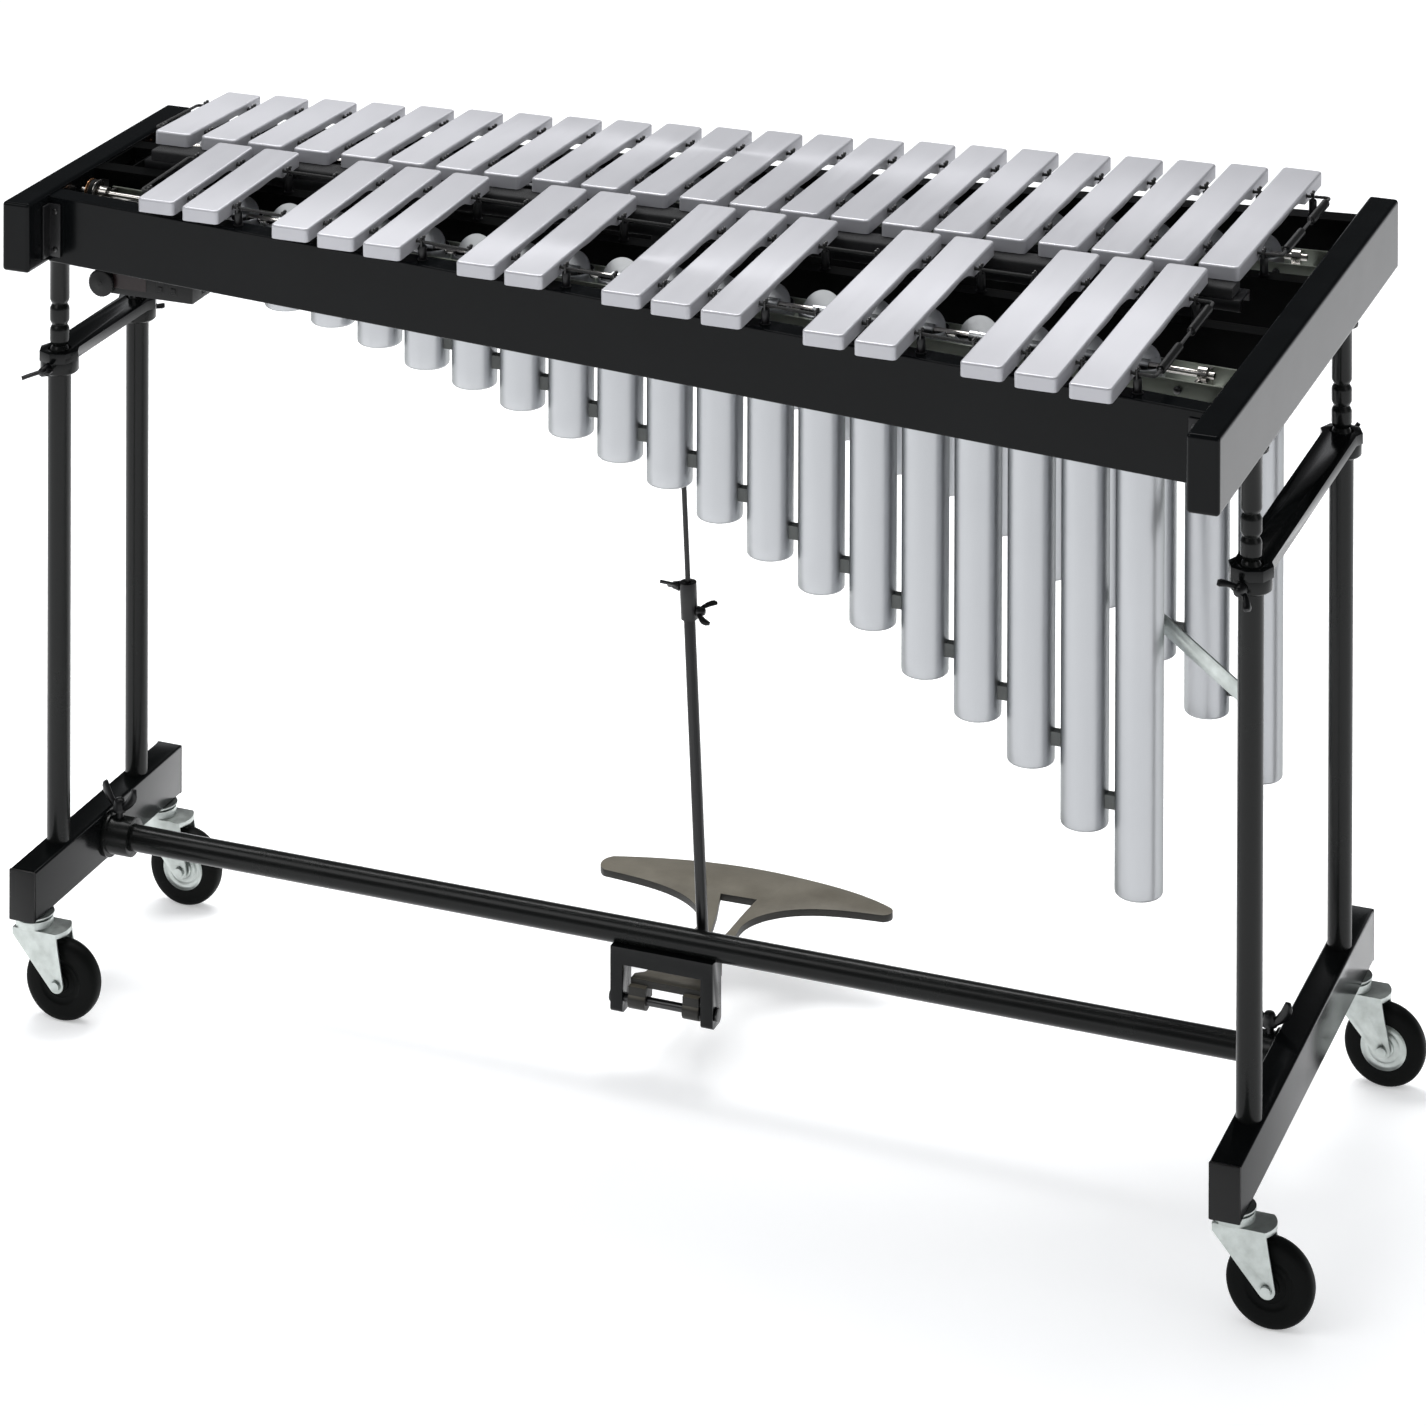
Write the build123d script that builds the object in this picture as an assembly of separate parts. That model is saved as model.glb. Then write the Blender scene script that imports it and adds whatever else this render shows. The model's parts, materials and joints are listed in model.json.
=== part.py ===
from build123d import *
import os
from math import atan2, degrees, hypot

# Vibraphone on a wheeled stand. Millimetres, +Z up.
# +X is the bass end, -Y the audience side (accidental bars), +Y the player's side (natural bars, pedal).
# Everything is drawn about the middle of the table frame, and saved about the middle of the whole
# outline on the floor, which the trailing casters carry a little further towards the bass.
OUTLINE_MID_X = 23.85

# ---- keyboard ----
PITCH = 49.88            # spacing of neighbouring natural bars
BAR_W = 38.0
BAR_T = 12.7
NATURALS = 22            # F3 to F6
SHARP_SLOTS = (0, 1, 2, 4, 5, 7, 8, 9, 11, 12, 14, 15, 16, 18, 19)
RESONATOR_SLOTS = 20     # audience-side tubes run on without a break, with dummies under the gaps
NAT_X0 = 520.0           # lowest natural bar
ACC_X0 = NAT_X0 - PITCH / 2
NAT_INNER_Y = 14.5       # inner ends of the two rows of bars
ACC_INNER_Y = 5.0
NAT_LEN = (313.0, 156.5)     # longest and shortest
ACC_LEN = (309.5, 166.5)
BAR_TOP = 807.5          # at the inner ends
BAR_DROP = 5.0           # the outer ends lie lower by this much
NODE = 0.21              # cord hole, fraction of a bar's length from its end
BAR_CORNER = 4.5         # rounding of a bar's upright corners, and of its top edges
BAR_EDGE = 2.0
CORD_R = 1.5
CORD_HOLE_R = 2.5
SPRING_LEN = 60.0
SPRING_R = 4.2
SPRING_BORE = 2.2
CORD_TURN = 16.0         # how far past the last bar a cord turns the corner, and runs before its spring

# ---- table frame ----
HALF_LEN = 612.5
END_T = 28.5
END_Z = (718.5, 784.0)
RAIL_Z = (718.5, 781.0)
INNER_Z = (734.0, 781.0)
RAIL_T = 24.0
INNER_T = 20.0
TREBLE_END_LEN = 332.0
BASS_END_LEN = 659.0
FRONT_RAIL_Y = (-142.5, -0.1221)   # outer face at the reference station, and its slope
BACK_RAIL_Y = (150.0, 0.1184)
FRONT_REF_X = -453.0
BACK_REF_X = -527.0
TIE_X = (-582.0, -553.0)     # plates across the treble end
BRACKET_T = 2.2
BRACKET_W = 14.0
BRACKET_H = 50.0

# ---- resonators and fans ----
TUBE_R = 21.0
TUBE_WALL = 1.5
TUBE_TOP = 772.0
FAN_Z = 770.0
FAN_R = 18.5
FAN_TILT = 62.0          # how far the fans stand open at rest
SHAFT_R = 3.0
SHAFT_X = (-580.0, 562.0)
F3_HZ = 174.61
SOUND = 343500.0         # mm/s
TUBE_EXTRA = -6.0        # the open mouth sounds longer than the tube is
STRIP_T = 2.5
STRIP_Z = (753.0, 770.0)
BEARING_X = (-555.0, 552.0)
DRIVE_X = (-566.0, -574.0)   # front belt, back belt
DRIVE_R = 9.5
MOTOR_R = 7.0
MOTOR_Y = -75.0
MOTOR_Z = 712.0
MOTOR_FRONT = -119.5     # the control panel
KNOB = Vector(-529.5, -126.0, 704.0)
KNOB_R = 13.0
BELT_W = 4.0
BELT_T = 1.8

# ---- stand ----
FOOT_W = 27.5
FOOT_Z = (97.0, 145.5)
TREBLE_X = -599.0
BASS_X = 597.0
TREBLE_FOOT_LEN = 300.0
BASS_FOOT_LEN = 493.0
TREBLE_LEG_Y = 78.6
BASS_LEG_Y = 164.7
LEG_R = 11.25
LEG_BORE = 9.7
LEG_TOP = 616.0
POST_R = 9.4             # the turned posts that slide in the legs
NECK_R = 7.2
NECK_PITCH = 20.0        # one step of height
NECKS = [562.0 + NECK_PITCH * k for k in range(6)]
COLLAR_Z = (597.0, 609.0)
COLLAR_R = 18.5
BRACE_Z = (609.0, 618.5)
BRACE_W = 32.0
STRETCHER_R = 12.25
STRETCHER_Z = 120.0
SOCKET_BOLT = 10.0       # wing bolt's distance from the foot

STAY_A = Vector(480.0, -117.4, 556.0)    # the stay's two ends
STAY_B = Vector(600.0, -150.5, 490.0)

# ---- damper and pedal ----
DAMPER_Y = (NAT_INNER_Y + ACC_INNER_Y) / 2
FELT_TOP = 794.2
FELT_T = 9.0
PIVOT_Y = -8.0
PIVOT_Z = 62.0
ROD_BOTTOM = Vector(28.0, 24.0, 64.0)
ROD_TOP = Vector(0.0, DAMPER_Y, 762.0)
ROD_R = 5.5
THIN_ROD_R = 2.5
CLAMP = 0.525            # where the clamp sits along the rod
EYE_R = 3.6
EYE_PIN_R = 3.0
HALF_DAMPER = 546.0
HALF_FELT = 540.0
FELT_Z = FELT_TOP - FELT_T
DAMPER_HALF_W = 17.0
HALF_GAP = DAMPER_HALF_W - 2.0
PAD_Z = 74.0
PAD_T = 7.0

# ---- casters ----
WHEEL_R = 38.0
WHEEL_W = 18.0
TRAIL = 32.0
RACE_R = 19.0
TREBLE_CASTER_Y = 125.0
BASS_CASTER_Y = 214.0
PLATE_Z = FOOT_Z[0] - 3.0

os.makedirs("parts", exist_ok=True)


def save(name, shapes):
    """Write one node, a list of solids, to its own STEP file."""
    solids = [solid for shape in shapes for solid in shape.solids()]
    placed = [Pos(-OUTLINE_MID_X, 0, 0) * solid for solid in solids]
    export_step(Compound(children=placed), f"parts/{name}.step")


def lerp(a, b, t):
    return a + (b - a) * t


def nat_x(i):
    return NAT_X0 - PITCH * i


def acc_x(j):
    return ACC_X0 - PITCH * j


def nat_len(x):
    return lerp(NAT_LEN[0], NAT_LEN[1], (NAT_X0 - x) / (PITCH * (NATURALS - 1)))


def acc_len(x):
    return lerp(ACC_LEN[0], ACC_LEN[1], (ACC_X0 - x) / (PITCH * (RESONATOR_SLOTS - 1)))


def front_face(x):
    return FRONT_RAIL_Y[0] + FRONT_RAIL_Y[1] * (x - FRONT_REF_X)


def back_face(x):
    return BACK_RAIL_Y[0] + BACK_RAIL_Y[1] * (x - BACK_REF_X)


def box(x0, x1, y0, y1, z0, z1):
    return Pos((x0 + x1) / 2, (y0 + y1) / 2, (z0 + z1) / 2) * Box(x1 - x0, y1 - y0, z1 - z0)


def rod(start, end, radius):
    """A round bar between two points."""
    axis = end - start
    plane = Plane(origin=start, z_dir=axis)
    return extrude(plane * Circle(radius), amount=axis.length)


def tube(start, end, radius, bore):
    axis = end - start
    plane = Plane(origin=start, z_dir=axis)
    return extrude(plane * (Circle(radius) - Circle(bore)), amount=axis.length)


def prism(points, z0, z1):
    """A plan outline raised from z0 to z1."""
    return extrude(Pos(0, 0, z0) * make_face(Polyline(*points, close=True)), amount=z1 - z0)


def turned(profile):
    """A solid of revolution about Z from (radius, height) points."""
    return revolve(Plane.XZ * make_face(Polyline(*profile, close=True)), axis=Axis.Z)


# ---- cords: one straight line through each end of each row ----
def cord_line(side, inner):
    """Two far points of a cord's straight run."""
    z = BAR_TOP - BAR_T / 2 - BAR_DROP * (NODE if inner else 1 - NODE)
    ends = []
    for x in (-700.0, 700.0):
        if side > 0 and inner:
            y = NAT_INNER_Y + NODE * nat_len(x)
        elif side > 0:
            y = back_face(x) - RAIL_T / 2
        elif inner:
            y = ACC_INNER_Y - NODE * acc_len(x)
        else:
            y = front_face(x) + 14.0
        ends.append(Vector(x, y, z))
    return ends


def on_line(line, x):
    t = (x - line[0].X) / (line[1].X - line[0].X)
    return line[0] + (line[1] - line[0]) * t


CORDS = {(side, inner): cord_line(side, inner) for side in (1, -1) for inner in (True, False)}


# ---- bars ----
def make_bar(length, depth):
    """A bar lying along +Y from its inner end, its top at z = 0, arched underneath."""
    outline = Polyline((0.22 * length, -BAR_T), (0, -BAR_T), (0, 0), (length, 0),
                       (length, -BAR_T), (0.78 * length, -BAR_T))
    arch = Spline((0.78 * length, -BAR_T), (0.74 * length, -BAR_T + 0.62 * depth),
                  (0.5 * length, -BAR_T + depth), (0.26 * length, -BAR_T + 0.62 * depth),
                  (0.22 * length, -BAR_T))
    face = Plane.YZ * make_face([outline, arch])
    bar = Pos(-BAR_W / 2, 0, 0) * extrude(face, amount=BAR_W)
    bar = fillet(bar.edges().filter_by(Axis.Z), BAR_CORNER)
    return fillet(bar.faces().sort_by(Axis.Z)[-1].edges(), BAR_EDGE)


def place_bar(bar, x, length, side):
    drop = Rot(-degrees(atan2(BAR_DROP, length)), 0, 0)
    turn = Rot(0, 0, 0 if side > 0 else 180)
    inner_y = NAT_INNER_Y if side > 0 else ACC_INNER_Y
    placed = Pos(x, inner_y, BAR_TOP) * turn * drop * bar
    for inner in (True, False):
        line = CORDS[(side, inner)]
        placed -= rod(on_line(line, x - 30), on_line(line, x + 30), CORD_HOLE_R)
    return placed


natural_bars = []
for i in range(NATURALS):
    length = nat_len(nat_x(i))
    depth = lerp(0.62, 0.42, i / (NATURALS - 1)) * BAR_T
    natural_bars.append(place_bar(make_bar(length, depth), nat_x(i), length, 1))
save("natural_bars", natural_bars)

accidental_bars = []
for j in SHARP_SLOTS:
    length = acc_len(acc_x(j))
    depth = lerp(0.62, 0.42, j / (NATURALS - 1)) * BAR_T
    accidental_bars.append(place_bar(make_bar(length, depth), acc_x(j), length, -1))
save("accidental_bars", accidental_bars)


# ---- cord posts: a stem with two ball-topped prongs that the cord lies between ----
def make_post(height):
    post = Cylinder(3.8, height - 1.7, align=(Align.CENTER, Align.CENTER, Align.MIN))
    for y in (-2.7, 2.7):
        post += Pos(0, y, height - 3.0) * Cylinder(1.0, 6.0, align=(Align.CENTER, Align.CENTER, Align.MIN))
        post += Pos(0, y, height + 3.6) * Sphere(1.7)
    return post


nat_post_x = [NAT_X0 + PITCH * (0.5 - k) for k in range(NATURALS + 1)]
acc_post_x = sorted({round(acc_x(j) + s * PITCH / 2, 3) for j in SHARP_SLOTS for s in (1, -1)})
posts = []
for (side, inner), line in CORDS.items():
    post = make_post(line[0].Z - RAIL_Z[1])
    for x in (nat_post_x if side > 0 else acc_post_x):
        at = on_line(line, x)
        slope = degrees(atan2(line[1].Y - line[0].Y, line[1].X - line[0].X))
        posts.append(Pos(x, at.Y, RAIL_Z[1]) * Rot(0, 0, slope) * post)
save("cord_posts", posts)

# ---- cords and the springs that tighten them, one loop to each row ----
cords = []
springs = []
for side, post_x in ((1, nat_post_x), (-1, acc_post_x)):
    bass = max(post_x) + CORD_TURN
    treble = min(post_x) - 9.0
    outer, inner = CORDS[(side, False)], CORDS[(side, True)]
    corner_out = on_line(outer, bass)
    corner_in = on_line(inner, bass)
    across = (corner_in - corner_out).normalized()
    loop = Polyline(corner_out + across * CORD_TURN, corner_out, on_line(outer, treble),
                    on_line(inner, treble), corner_in, corner_in - across * CORD_TURN)
    start = Plane(origin=loop @ 0, z_dir=loop % 0)
    cords.append(sweep(start * Circle(CORD_R), path=loop, transition=Transition.ROUND))
    for tip, way in ((corner_out + across * CORD_TURN, across), (corner_in - across * CORD_TURN, -across)):
        springs.append(tube(tip, tip + way * SPRING_LEN, SPRING_R, SPRING_BORE))
    spring_end = across * (CORD_TURN + SPRING_LEN)
    cords.append(rod(corner_out + spring_end, corner_in - spring_end, CORD_R))
save("bar_cords", cords)
save("cord_springs", springs)

# ---- table frame ----
INNER_X = HALF_LEN - END_T


def rounded(solid, radius):
    return fillet(solid.edges(), radius)


for name, x0, length in (("treble_end_rail", -HALF_LEN, TREBLE_END_LEN),
                         ("bass_end_rail", INNER_X, BASS_END_LEN)):
    save(name, [rounded(box(x0, x0 + END_T, -length / 2, length / 2, *END_Z), 3.5)])

front_plan = [(x, front_face(x) + d) for d in (0, RAIL_T) for x in (-INNER_X, INNER_X)]
back_plan = [(x, back_face(x) - d) for d in (0, RAIL_T) for x in (-INNER_X, INNER_X)]
for name, plan in (("front_rail", front_plan), ("back_rail", back_plan)):
    ring = [plan[0], plan[1], plan[3], plan[2]]
    board = prism(ring, *RAIL_Z)
    board = fillet(board.edges().filter_by(lambda e: abs(e.length - 2 * INNER_X * 1.0074) < 4), 1.5)
    save(name, [board])

inner_rails = []
for side in (1, -1):
    line = CORDS[(side, True)]
    ends = [on_line(line, x) for x in (-INNER_X, INNER_X)]
    ring = [(ends[0].X, ends[0].Y - INNER_T / 2), (ends[1].X, ends[1].Y - INNER_T / 2),
            (ends[1].X, ends[1].Y + INNER_T / 2), (ends[0].X, ends[0].Y + INNER_T / 2)]
    belt_notch = box(DRIVE_X[1] - 5, DRIVE_X[1] + 5, -100, 100, INNER_Z[0], INNER_Z[0] + 38)
    inner_rails.append(prism(ring, *INNER_Z) - belt_notch)

# thin plates across the treble end tie the two inner rails together
for x in TIE_X:
    y0 = on_line(CORDS[(-1, True)], x).Y + INNER_T / 2
    y1 = on_line(CORDS[(1, True)], x).Y - INNER_T / 2
    inner_rails.append(box(x - 1, x + 1, y0 + 0.2, y1 - 0.2, RAIL_Z[1] - 12, RAIL_Z[1]))
save("inner_rails", inner_rails)

# ---- bent corner brackets outside the long rails, with their screws ----
brackets = []
screws = []
mid_z = (RAIL_Z[0] + RAIL_Z[1]) / 2
for face, out, slope in ((front_face, -1, FRONT_RAIL_Y[1]), (back_face, 1, BACK_RAIL_Y[1])):
    for end in (-1, 1):
        x = end * INNER_X
        ring = [(x, face(x)), (x - end * BRACKET_W, face(x - end * BRACKET_W)),
                (x - end * BRACKET_W, face(x - end * BRACKET_W) + out * BRACKET_T),
                (x - end * BRACKET_T, face(x - end * BRACKET_T) + out * BRACKET_T),
                (x - end * BRACKET_T, face(x) + out * BRACKET_W), (x, face(x) + out * BRACKET_W)]
        brackets.append(prism(ring, mid_z - BRACKET_H / 2, mid_z + BRACKET_H / 2))
        for dz in (-18.0, 18.0):
            sx = x - end * 8.5
            foot = Vector(sx, face(sx) + out * BRACKET_T, mid_z + dz)
            screws.append(rod(foot, foot + Vector(-slope * out, out, 0) * 1.6, 2.6))


# ---- resonators ----
def row_y(side, x):
    return NAT_INNER_Y + nat_len(x) / 2 if side > 0 else ACC_INNER_Y - acc_len(x) / 2


def row_point(side, x, z, off=0.0):
    """A point on a resonator row's centre line, or off to one side of it."""
    slope = (row_y(side, 100) - row_y(side, 0)) / 100
    n = hypot(1, slope)
    return Vector(x - slope / n * off, row_y(side, x) + off / n, z)


def semitone(i):
    """Semitones above F3 of a natural bar, which may be counted past the keyboard's end."""
    return (0, 2, 4, 6, 7, 9, 11)[i % 7] + 12 * (i // 7)


def tube_length(steps):
    return SOUND / (4 * F3_HZ * 2 ** (steps / 12)) + TUBE_EXTRA


def resonator(length):
    """A tube closed at the bottom, hanging down from z = 0."""
    r, b = TUBE_R, TUBE_R - TUBE_WALL
    return turned([(0, -length), (r - 1.5, -length), (r, -length + 1.5), (r, 0), (b, 0),
                   (b, -length + 2.5), (0, -length + 2.5)])


rows = {1: [(nat_x(i), tube_length(semitone(i))) for i in range(NATURALS)],
        -1: [(acc_x(j), tube_length((semitone(j) + semitone(j + 1)) / 2)) for j in range(RESONATOR_SLOTS)]}
for side, name in ((1, "back_resonators"), (-1, "front_resonators")):
    tubes = []
    for x, length in rows[side]:
        bore = rod(row_point(side, x - 30, FAN_Z), row_point(side, x + 30, FAN_Z), SHAFT_R + 1)
        tubes.append(Pos(x, row_y(side, x), TUBE_TOP) * resonator(length) - bore)
    save(name, tubes)

spacers = []
for side in (1, -1):
    for (xa, _), (xb, length) in zip(rows[side], rows[side][1:]):
        mid = row_point(side, (xa + xb) / 2, TUBE_TOP - length + 24)
        block = Pos(mid.X, mid.Y, mid.Z) * Box(14, 9, 12)
        for x in (xa, xb):
            block -= Pos(x, row_y(side, x), mid.Z) * Cylinder(TUBE_R + 0.02, 20)
        spacers.append(block)
save("tube_spacers", spacers)

# ---- the two strips each bank of tubes hangs between, bolts, hangers and bearing plates ----
strips = []
plates = []
hangers = []
for side in (1, -1):
    for hand in (1, -1):
        off = hand * (TUBE_R + 0.1)
        x0 = -560.0 if hand == -side else -INNER_X + 6
        x1 = INNER_X - 6
        near = [row_point(side, x, 0, off) for x in (x0, x1)]
        far = [row_point(side, x, 0, off + hand * STRIP_T) for x in (x1, x0)]
        strips.append(prism([(p.X, p.Y) for p in near + far], *STRIP_Z))
        for x in (-530.0, -200.0, 200.0, 537.0):
            head = row_point(side, x, (STRIP_Z[0] + STRIP_Z[1]) / 2, off + hand * STRIP_T)
            tip = row_point(side, x, head.Z, off + hand * (STRIP_T + 3))
            screws.append(rod(head, tip, 3.6))
    for x in BEARING_X:
        offsets = ((-1.5, -TUBE_R), (1.5, -TUBE_R), (1.5, TUBE_R), (-1.5, TUBE_R))
        corners = [row_point(side, x + dx, 0, dy) for dx, dy in offsets]
        plate = prism([(p.X, p.Y) for p in corners], *STRIP_Z)
        boss = rod(row_point(side, x - 4, FAN_Z), row_point(side, x + 4, FAN_Z), 6.5)
        hole = rod(row_point(side, x - 9, FAN_Z), row_point(side, x + 9, FAN_Z), SHAFT_R + 0.08)
        plates.append(plate + boss - hole)
    for end in (-1, 1):
        x_face = end * INNER_X
        mid = row_y(side, x_face) + side * 12
        ledge = box(min(x_face, x_face - end * 22), max(x_face, x_face - end * 22), mid - 34, mid + 34,
                    STRIP_Z[0] - 3, STRIP_Z[0])
        web = box(min(x_face, x_face - end * 3), max(x_face, x_face - end * 3), mid - 34, mid + 34,
                  STRIP_Z[0] - 22, STRIP_Z[0])
        if end < 0:
            outer = row_y(side, x_face) + side * (TUBE_R + 4)
            keep = box(-INNER_X, -INNER_X + 22, outer - 5, outer + 5, STRIP_Z[0] - 22, STRIP_Z[0])
            hangers.append((ledge + web) & keep)
        else:
            hangers.append(ledge + web)
save("bank_rails", strips)
save("shaft_bearings", plates)
save("frame_brackets", brackets + hangers)
save("frame_screws", screws)

# ---- fans: a disc in the mouth of every tube, all on one shaft to each row ----
for side, name in ((1, "back"), (-1, "front")):
    shaft = rod(row_point(side, SHAFT_X[0], FAN_Z), row_point(side, SHAFT_X[1], FAN_Z), SHAFT_R)
    save(f"{name}_fan_shaft", [shaft])
    discs = []
    slope = degrees(atan2(row_y(side, 100) - row_y(side, 0), 100))
    for x, _ in rows[side]:
        hub = rod(row_point(side, x - 8, FAN_Z), row_point(side, x + 8, FAN_Z), 5.0)
        disc = Pos(x, row_y(side, x), FAN_Z) * Rot(0, 0, slope) * Rot(FAN_TILT, 0, 0) * Cylinder(FAN_R, 1.2)
        hole = rod(row_point(side, x - 20, FAN_Z), row_point(side, x + 20, FAN_Z), SHAFT_R + 0.02)
        discs.append(hub + disc - hole)
    save(f"{name}_fans", discs)


# ---- belt drive at the treble end ----
def pulley(radius, bore, slack):
    """A flanged pulley about X, centred on its groove, which is wider than the belt by the slack."""
    r, w = radius, BELT_W / 2 + slack
    profile = [(bore, -w - 1.2), (r + 2.5, -w - 1.2), (r + 2.5, -w), (r, -w), (r, w), (r + 2.5, w),
               (r + 2.5, w + 1.2), (bore, w + 1.2)]
    return Rot(0, 90, 0) * turned(profile)


drives = {-1: DRIVE_X[0], 1: DRIVE_X[1]}
for side, name in ((1, "back"), (-1, "front")):
    at = row_point(side, drives[side], FAN_Z)
    slope = degrees(atan2(row_y(side, 100) - row_y(side, 0), 100))
    save(f"{name}_pulley", [Pos(at.X, at.Y, at.Z) * Rot(0, 0, slope) * pulley(DRIVE_R, SHAFT_R + 0.02, 1.5)])

spindle = rod(Vector(-579, MOTOR_Y, MOTOR_Z), Vector(-530, MOTOR_Y, MOTOR_Z), 2.5)
save("motor_pulley", [spindle] + [Pos(x, MOTOR_Y, MOTOR_Z) * pulley(MOTOR_R, 2.5, 0.3) for x in DRIVE_X])

belts = []
for side in (-1, 1):
    top = row_point(side, drives[side], FAN_Z)
    loops = []
    for grow in (0.0, BELT_T):
        small = Pos(MOTOR_Y, MOTOR_Z) * Circle(MOTOR_R + 0.06 + grow)
        large = Pos(top.Y, top.Z) * Circle(DRIVE_R + 0.25 + grow)
        loops.append(make_hull(small.edges() + large.edges()))
    band = extrude(Plane.YZ * (loops[1] - loops[0]), amount=BELT_W / 2, both=True)
    belts.append(Pos(drives[side], 0, 0) * band)
save("drive_belts", belts)

body = box(-545, -484, -98, -52, 694, 740)
body = fillet(body.edges().filter_by(Axis.X), 6)
body += box(-524, -435, MOTOR_FRONT, -84, 694, 697.5)
body += box(-524, -484, MOTOR_FRONT, -98, 694, 718)
body += box(-484, -435, MOTOR_FRONT, -101.5, 694, 718)
body += box(-541, -524, MOTOR_FRONT, -98, 699, 709)
body -= rod(Vector(-560, MOTOR_Y, MOTOR_Z), Vector(-500, MOTOR_Y, MOTOR_Z), 2.6)
tab = [(-520, front_face(-520) + RAIL_T), (-495, front_face(-495) + RAIL_T), (-495, -90), (-520, -90)]
body += prism(tab, RAIL_Z[0], RAIL_Z[0] + 16) + box(-520, -495, -110, -90, 710, RAIL_Z[0] + 16)
body -= rod(KNOB, KNOB + Vector(0, 24, 0), 2.6)
save("motor_box", [body])
knob = rod(KNOB, KNOB + Vector(0, 5, 0), KNOB_R) + rod(KNOB, KNOB + Vector(0, 20, 0), 2.5)
save("speed_knob", [fillet(knob.edges().filter_by(GeomType.CIRCLE).group_by(Axis.Y)[0], 1.5)])

# ---- damper: a felt-topped bar along the middle, let down by the pedal ----
save("damper_felt", [box(-HALF_FELT, HALF_FELT, DAMPER_Y - 14, DAMPER_Y + 14, FELT_Z, FELT_TOP)])
channel = box(-HALF_DAMPER, HALF_DAMPER, DAMPER_Y - DAMPER_HALF_W, DAMPER_Y + DAMPER_HALF_W,
              FELT_Z - 10, FELT_Z)
channel -= box(-HALF_DAMPER, HALF_DAMPER, DAMPER_Y - HALF_GAP, DAMPER_Y + HALF_GAP, FELT_Z - 10, FELT_Z - 2)
stirrup = box(-16, 16, DAMPER_Y - DAMPER_HALF_W, DAMPER_Y + DAMPER_HALF_W, ROD_TOP.Z - 5, FELT_Z - 10)
stirrup -= box(-17, 17, DAMPER_Y - HALF_GAP, DAMPER_Y + HALF_GAP, ROD_TOP.Z - 2, FELT_Z - 9)
rod_way = (ROD_TOP - ROD_BOTTOM).normalized()
stirrup -= Pos(0, DAMPER_Y, ROD_TOP.Z - 4) * Box(13, 11, 10)
save("damper_bar", [channel + stirrup])

guides = []
for x in (-500.0, 505.0):
    for side in (1, -1):
        rail = on_line(CORDS[(side, True)], x)
        y0, y1 = sorted((rail.Y - side * INNER_T / 2 - side * 0.5, DAMPER_Y + side * (DAMPER_HALF_W + 0.3)))
        guides.append(box(x - 8, x + 8, y0, y1, FELT_Z - 9, FELT_Z - 7))
save("damper_guides", guides)

# ---- push rod in two lengths, clamped one inside the other ----
clamp_at = ROD_BOTTOM + (ROD_TOP - ROD_BOTTOM) * CLAMP
lower_end = clamp_at + rod_way * 2
lower = tube(ROD_BOTTOM + rod_way * 6, lower_end, ROD_R, THIN_ROD_R + 0.6)
eye = Pos(*ROD_BOTTOM) * Rot(0, 90, 0) * Cylinder(8, 8)
eye -= Pos(*ROD_BOTTOM) * Rot(0, 90, 0) * Cylinder(EYE_R, 20)
thin = rod(clamp_at - rod_way * 150, ROD_TOP + rod_way * 4, THIN_ROD_R)
for low, high, radius in ((-7.0, -5.3, 8.0), (-1.7, 0.0, 7.0)):
    thin += rod(ROD_TOP + Vector(0, 0, low), ROD_TOP + Vector(0, 0, high), radius)
save("upper_rod", [thin])
sleeve = tube(clamp_at - rod_way * 16, clamp_at + rod_way * 16, 8.0, ROD_R + 0.05)
sleeve += tube(clamp_at + rod_way * 4, clamp_at + rod_way * 18, 8.0, THIN_ROD_R + 0.6)


def wing_bolt(shank, size=1.0):
    """A wing bolt along +X: shank in the part it clamps, two ears outside."""
    k = size
    bolt = rod(Vector(-shank, 0, 0), Vector(7 * k, 0, 0), 2.5)
    bolt += rod(Vector(0.4, 0, 0), Vector(8 * k, 0, 0), 5.0 * k)
    outer = Spline((7.5 * k, 2 * k), (12.5 * k, 7 * k), (17 * k, 14.5 * k))
    inner = Spline((13 * k, 16 * k), (8 * k, 11.5 * k), (4 * k, 2 * k))
    sides = [Line((4 * k, 2 * k), (7.5 * k, 2 * k)), outer, Line((17 * k, 14.5 * k), (13 * k, 16 * k)), inner]
    ear = extrude(Plane.XY * make_face(sides), amount=1.8 * k, both=True)
    return bolt + ear + mirror(ear, Plane.XZ)


for number, (height, yaw) in enumerate(((13.0, 180.0), (-8.0, 0.0)), 1):
    seat = clamp_at + rod_way * height
    out = Rot(0, 0, yaw) * Pos(8, 0, 0)
    sleeve -= Pos(*seat) * out * Rot(0, 90, 0) * Cylinder(2.55, 7)
    save(f"rod_wing_bolt_{number}", [Pos(*seat) * out * Rot(35, 0, 0) * wing_bolt(2.2)])
save("lower_rod", [lower + eye, sleeve])

# ---- pedal: one casting, a curved foot plate on two arms that run forward to the pivot ----
far_edge = Spline((-142, 214), (-70, 233), (2, 240), (60, 236), (118, 224), (146, 212))
right_tip = ThreePointArc((146, 212), (151, 203), (144, 194))
right_edge = Spline((144, 194), (100, 188), (60, 173), (35, 149), (27, 112))
front = Polyline((27, 112), (31, 60), (38.5, 40), (38.5, 12), (36, 8), (36, -8), (-34, -8), (-34, 2),
                 (-26, 8), (-17, 42), (-13, 112))
left_edge = Spline((-13, 112), (-26, 143), (-47, 162), (-90, 178), (-140, 184))
left_tip = ThreePointArc((-140, 184), (-149, 199), (-142, 214))
window = Polyline((-16, 179), (21, 180), (19, 150), (18, 108), (11, 49), (15, 14), (3, 11), (2, 45),
                  (3, 103), (-5, 140), close=True)
plan = make_face([far_edge, right_tip, right_edge, front, left_edge, left_tip]) - make_face(window)
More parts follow.
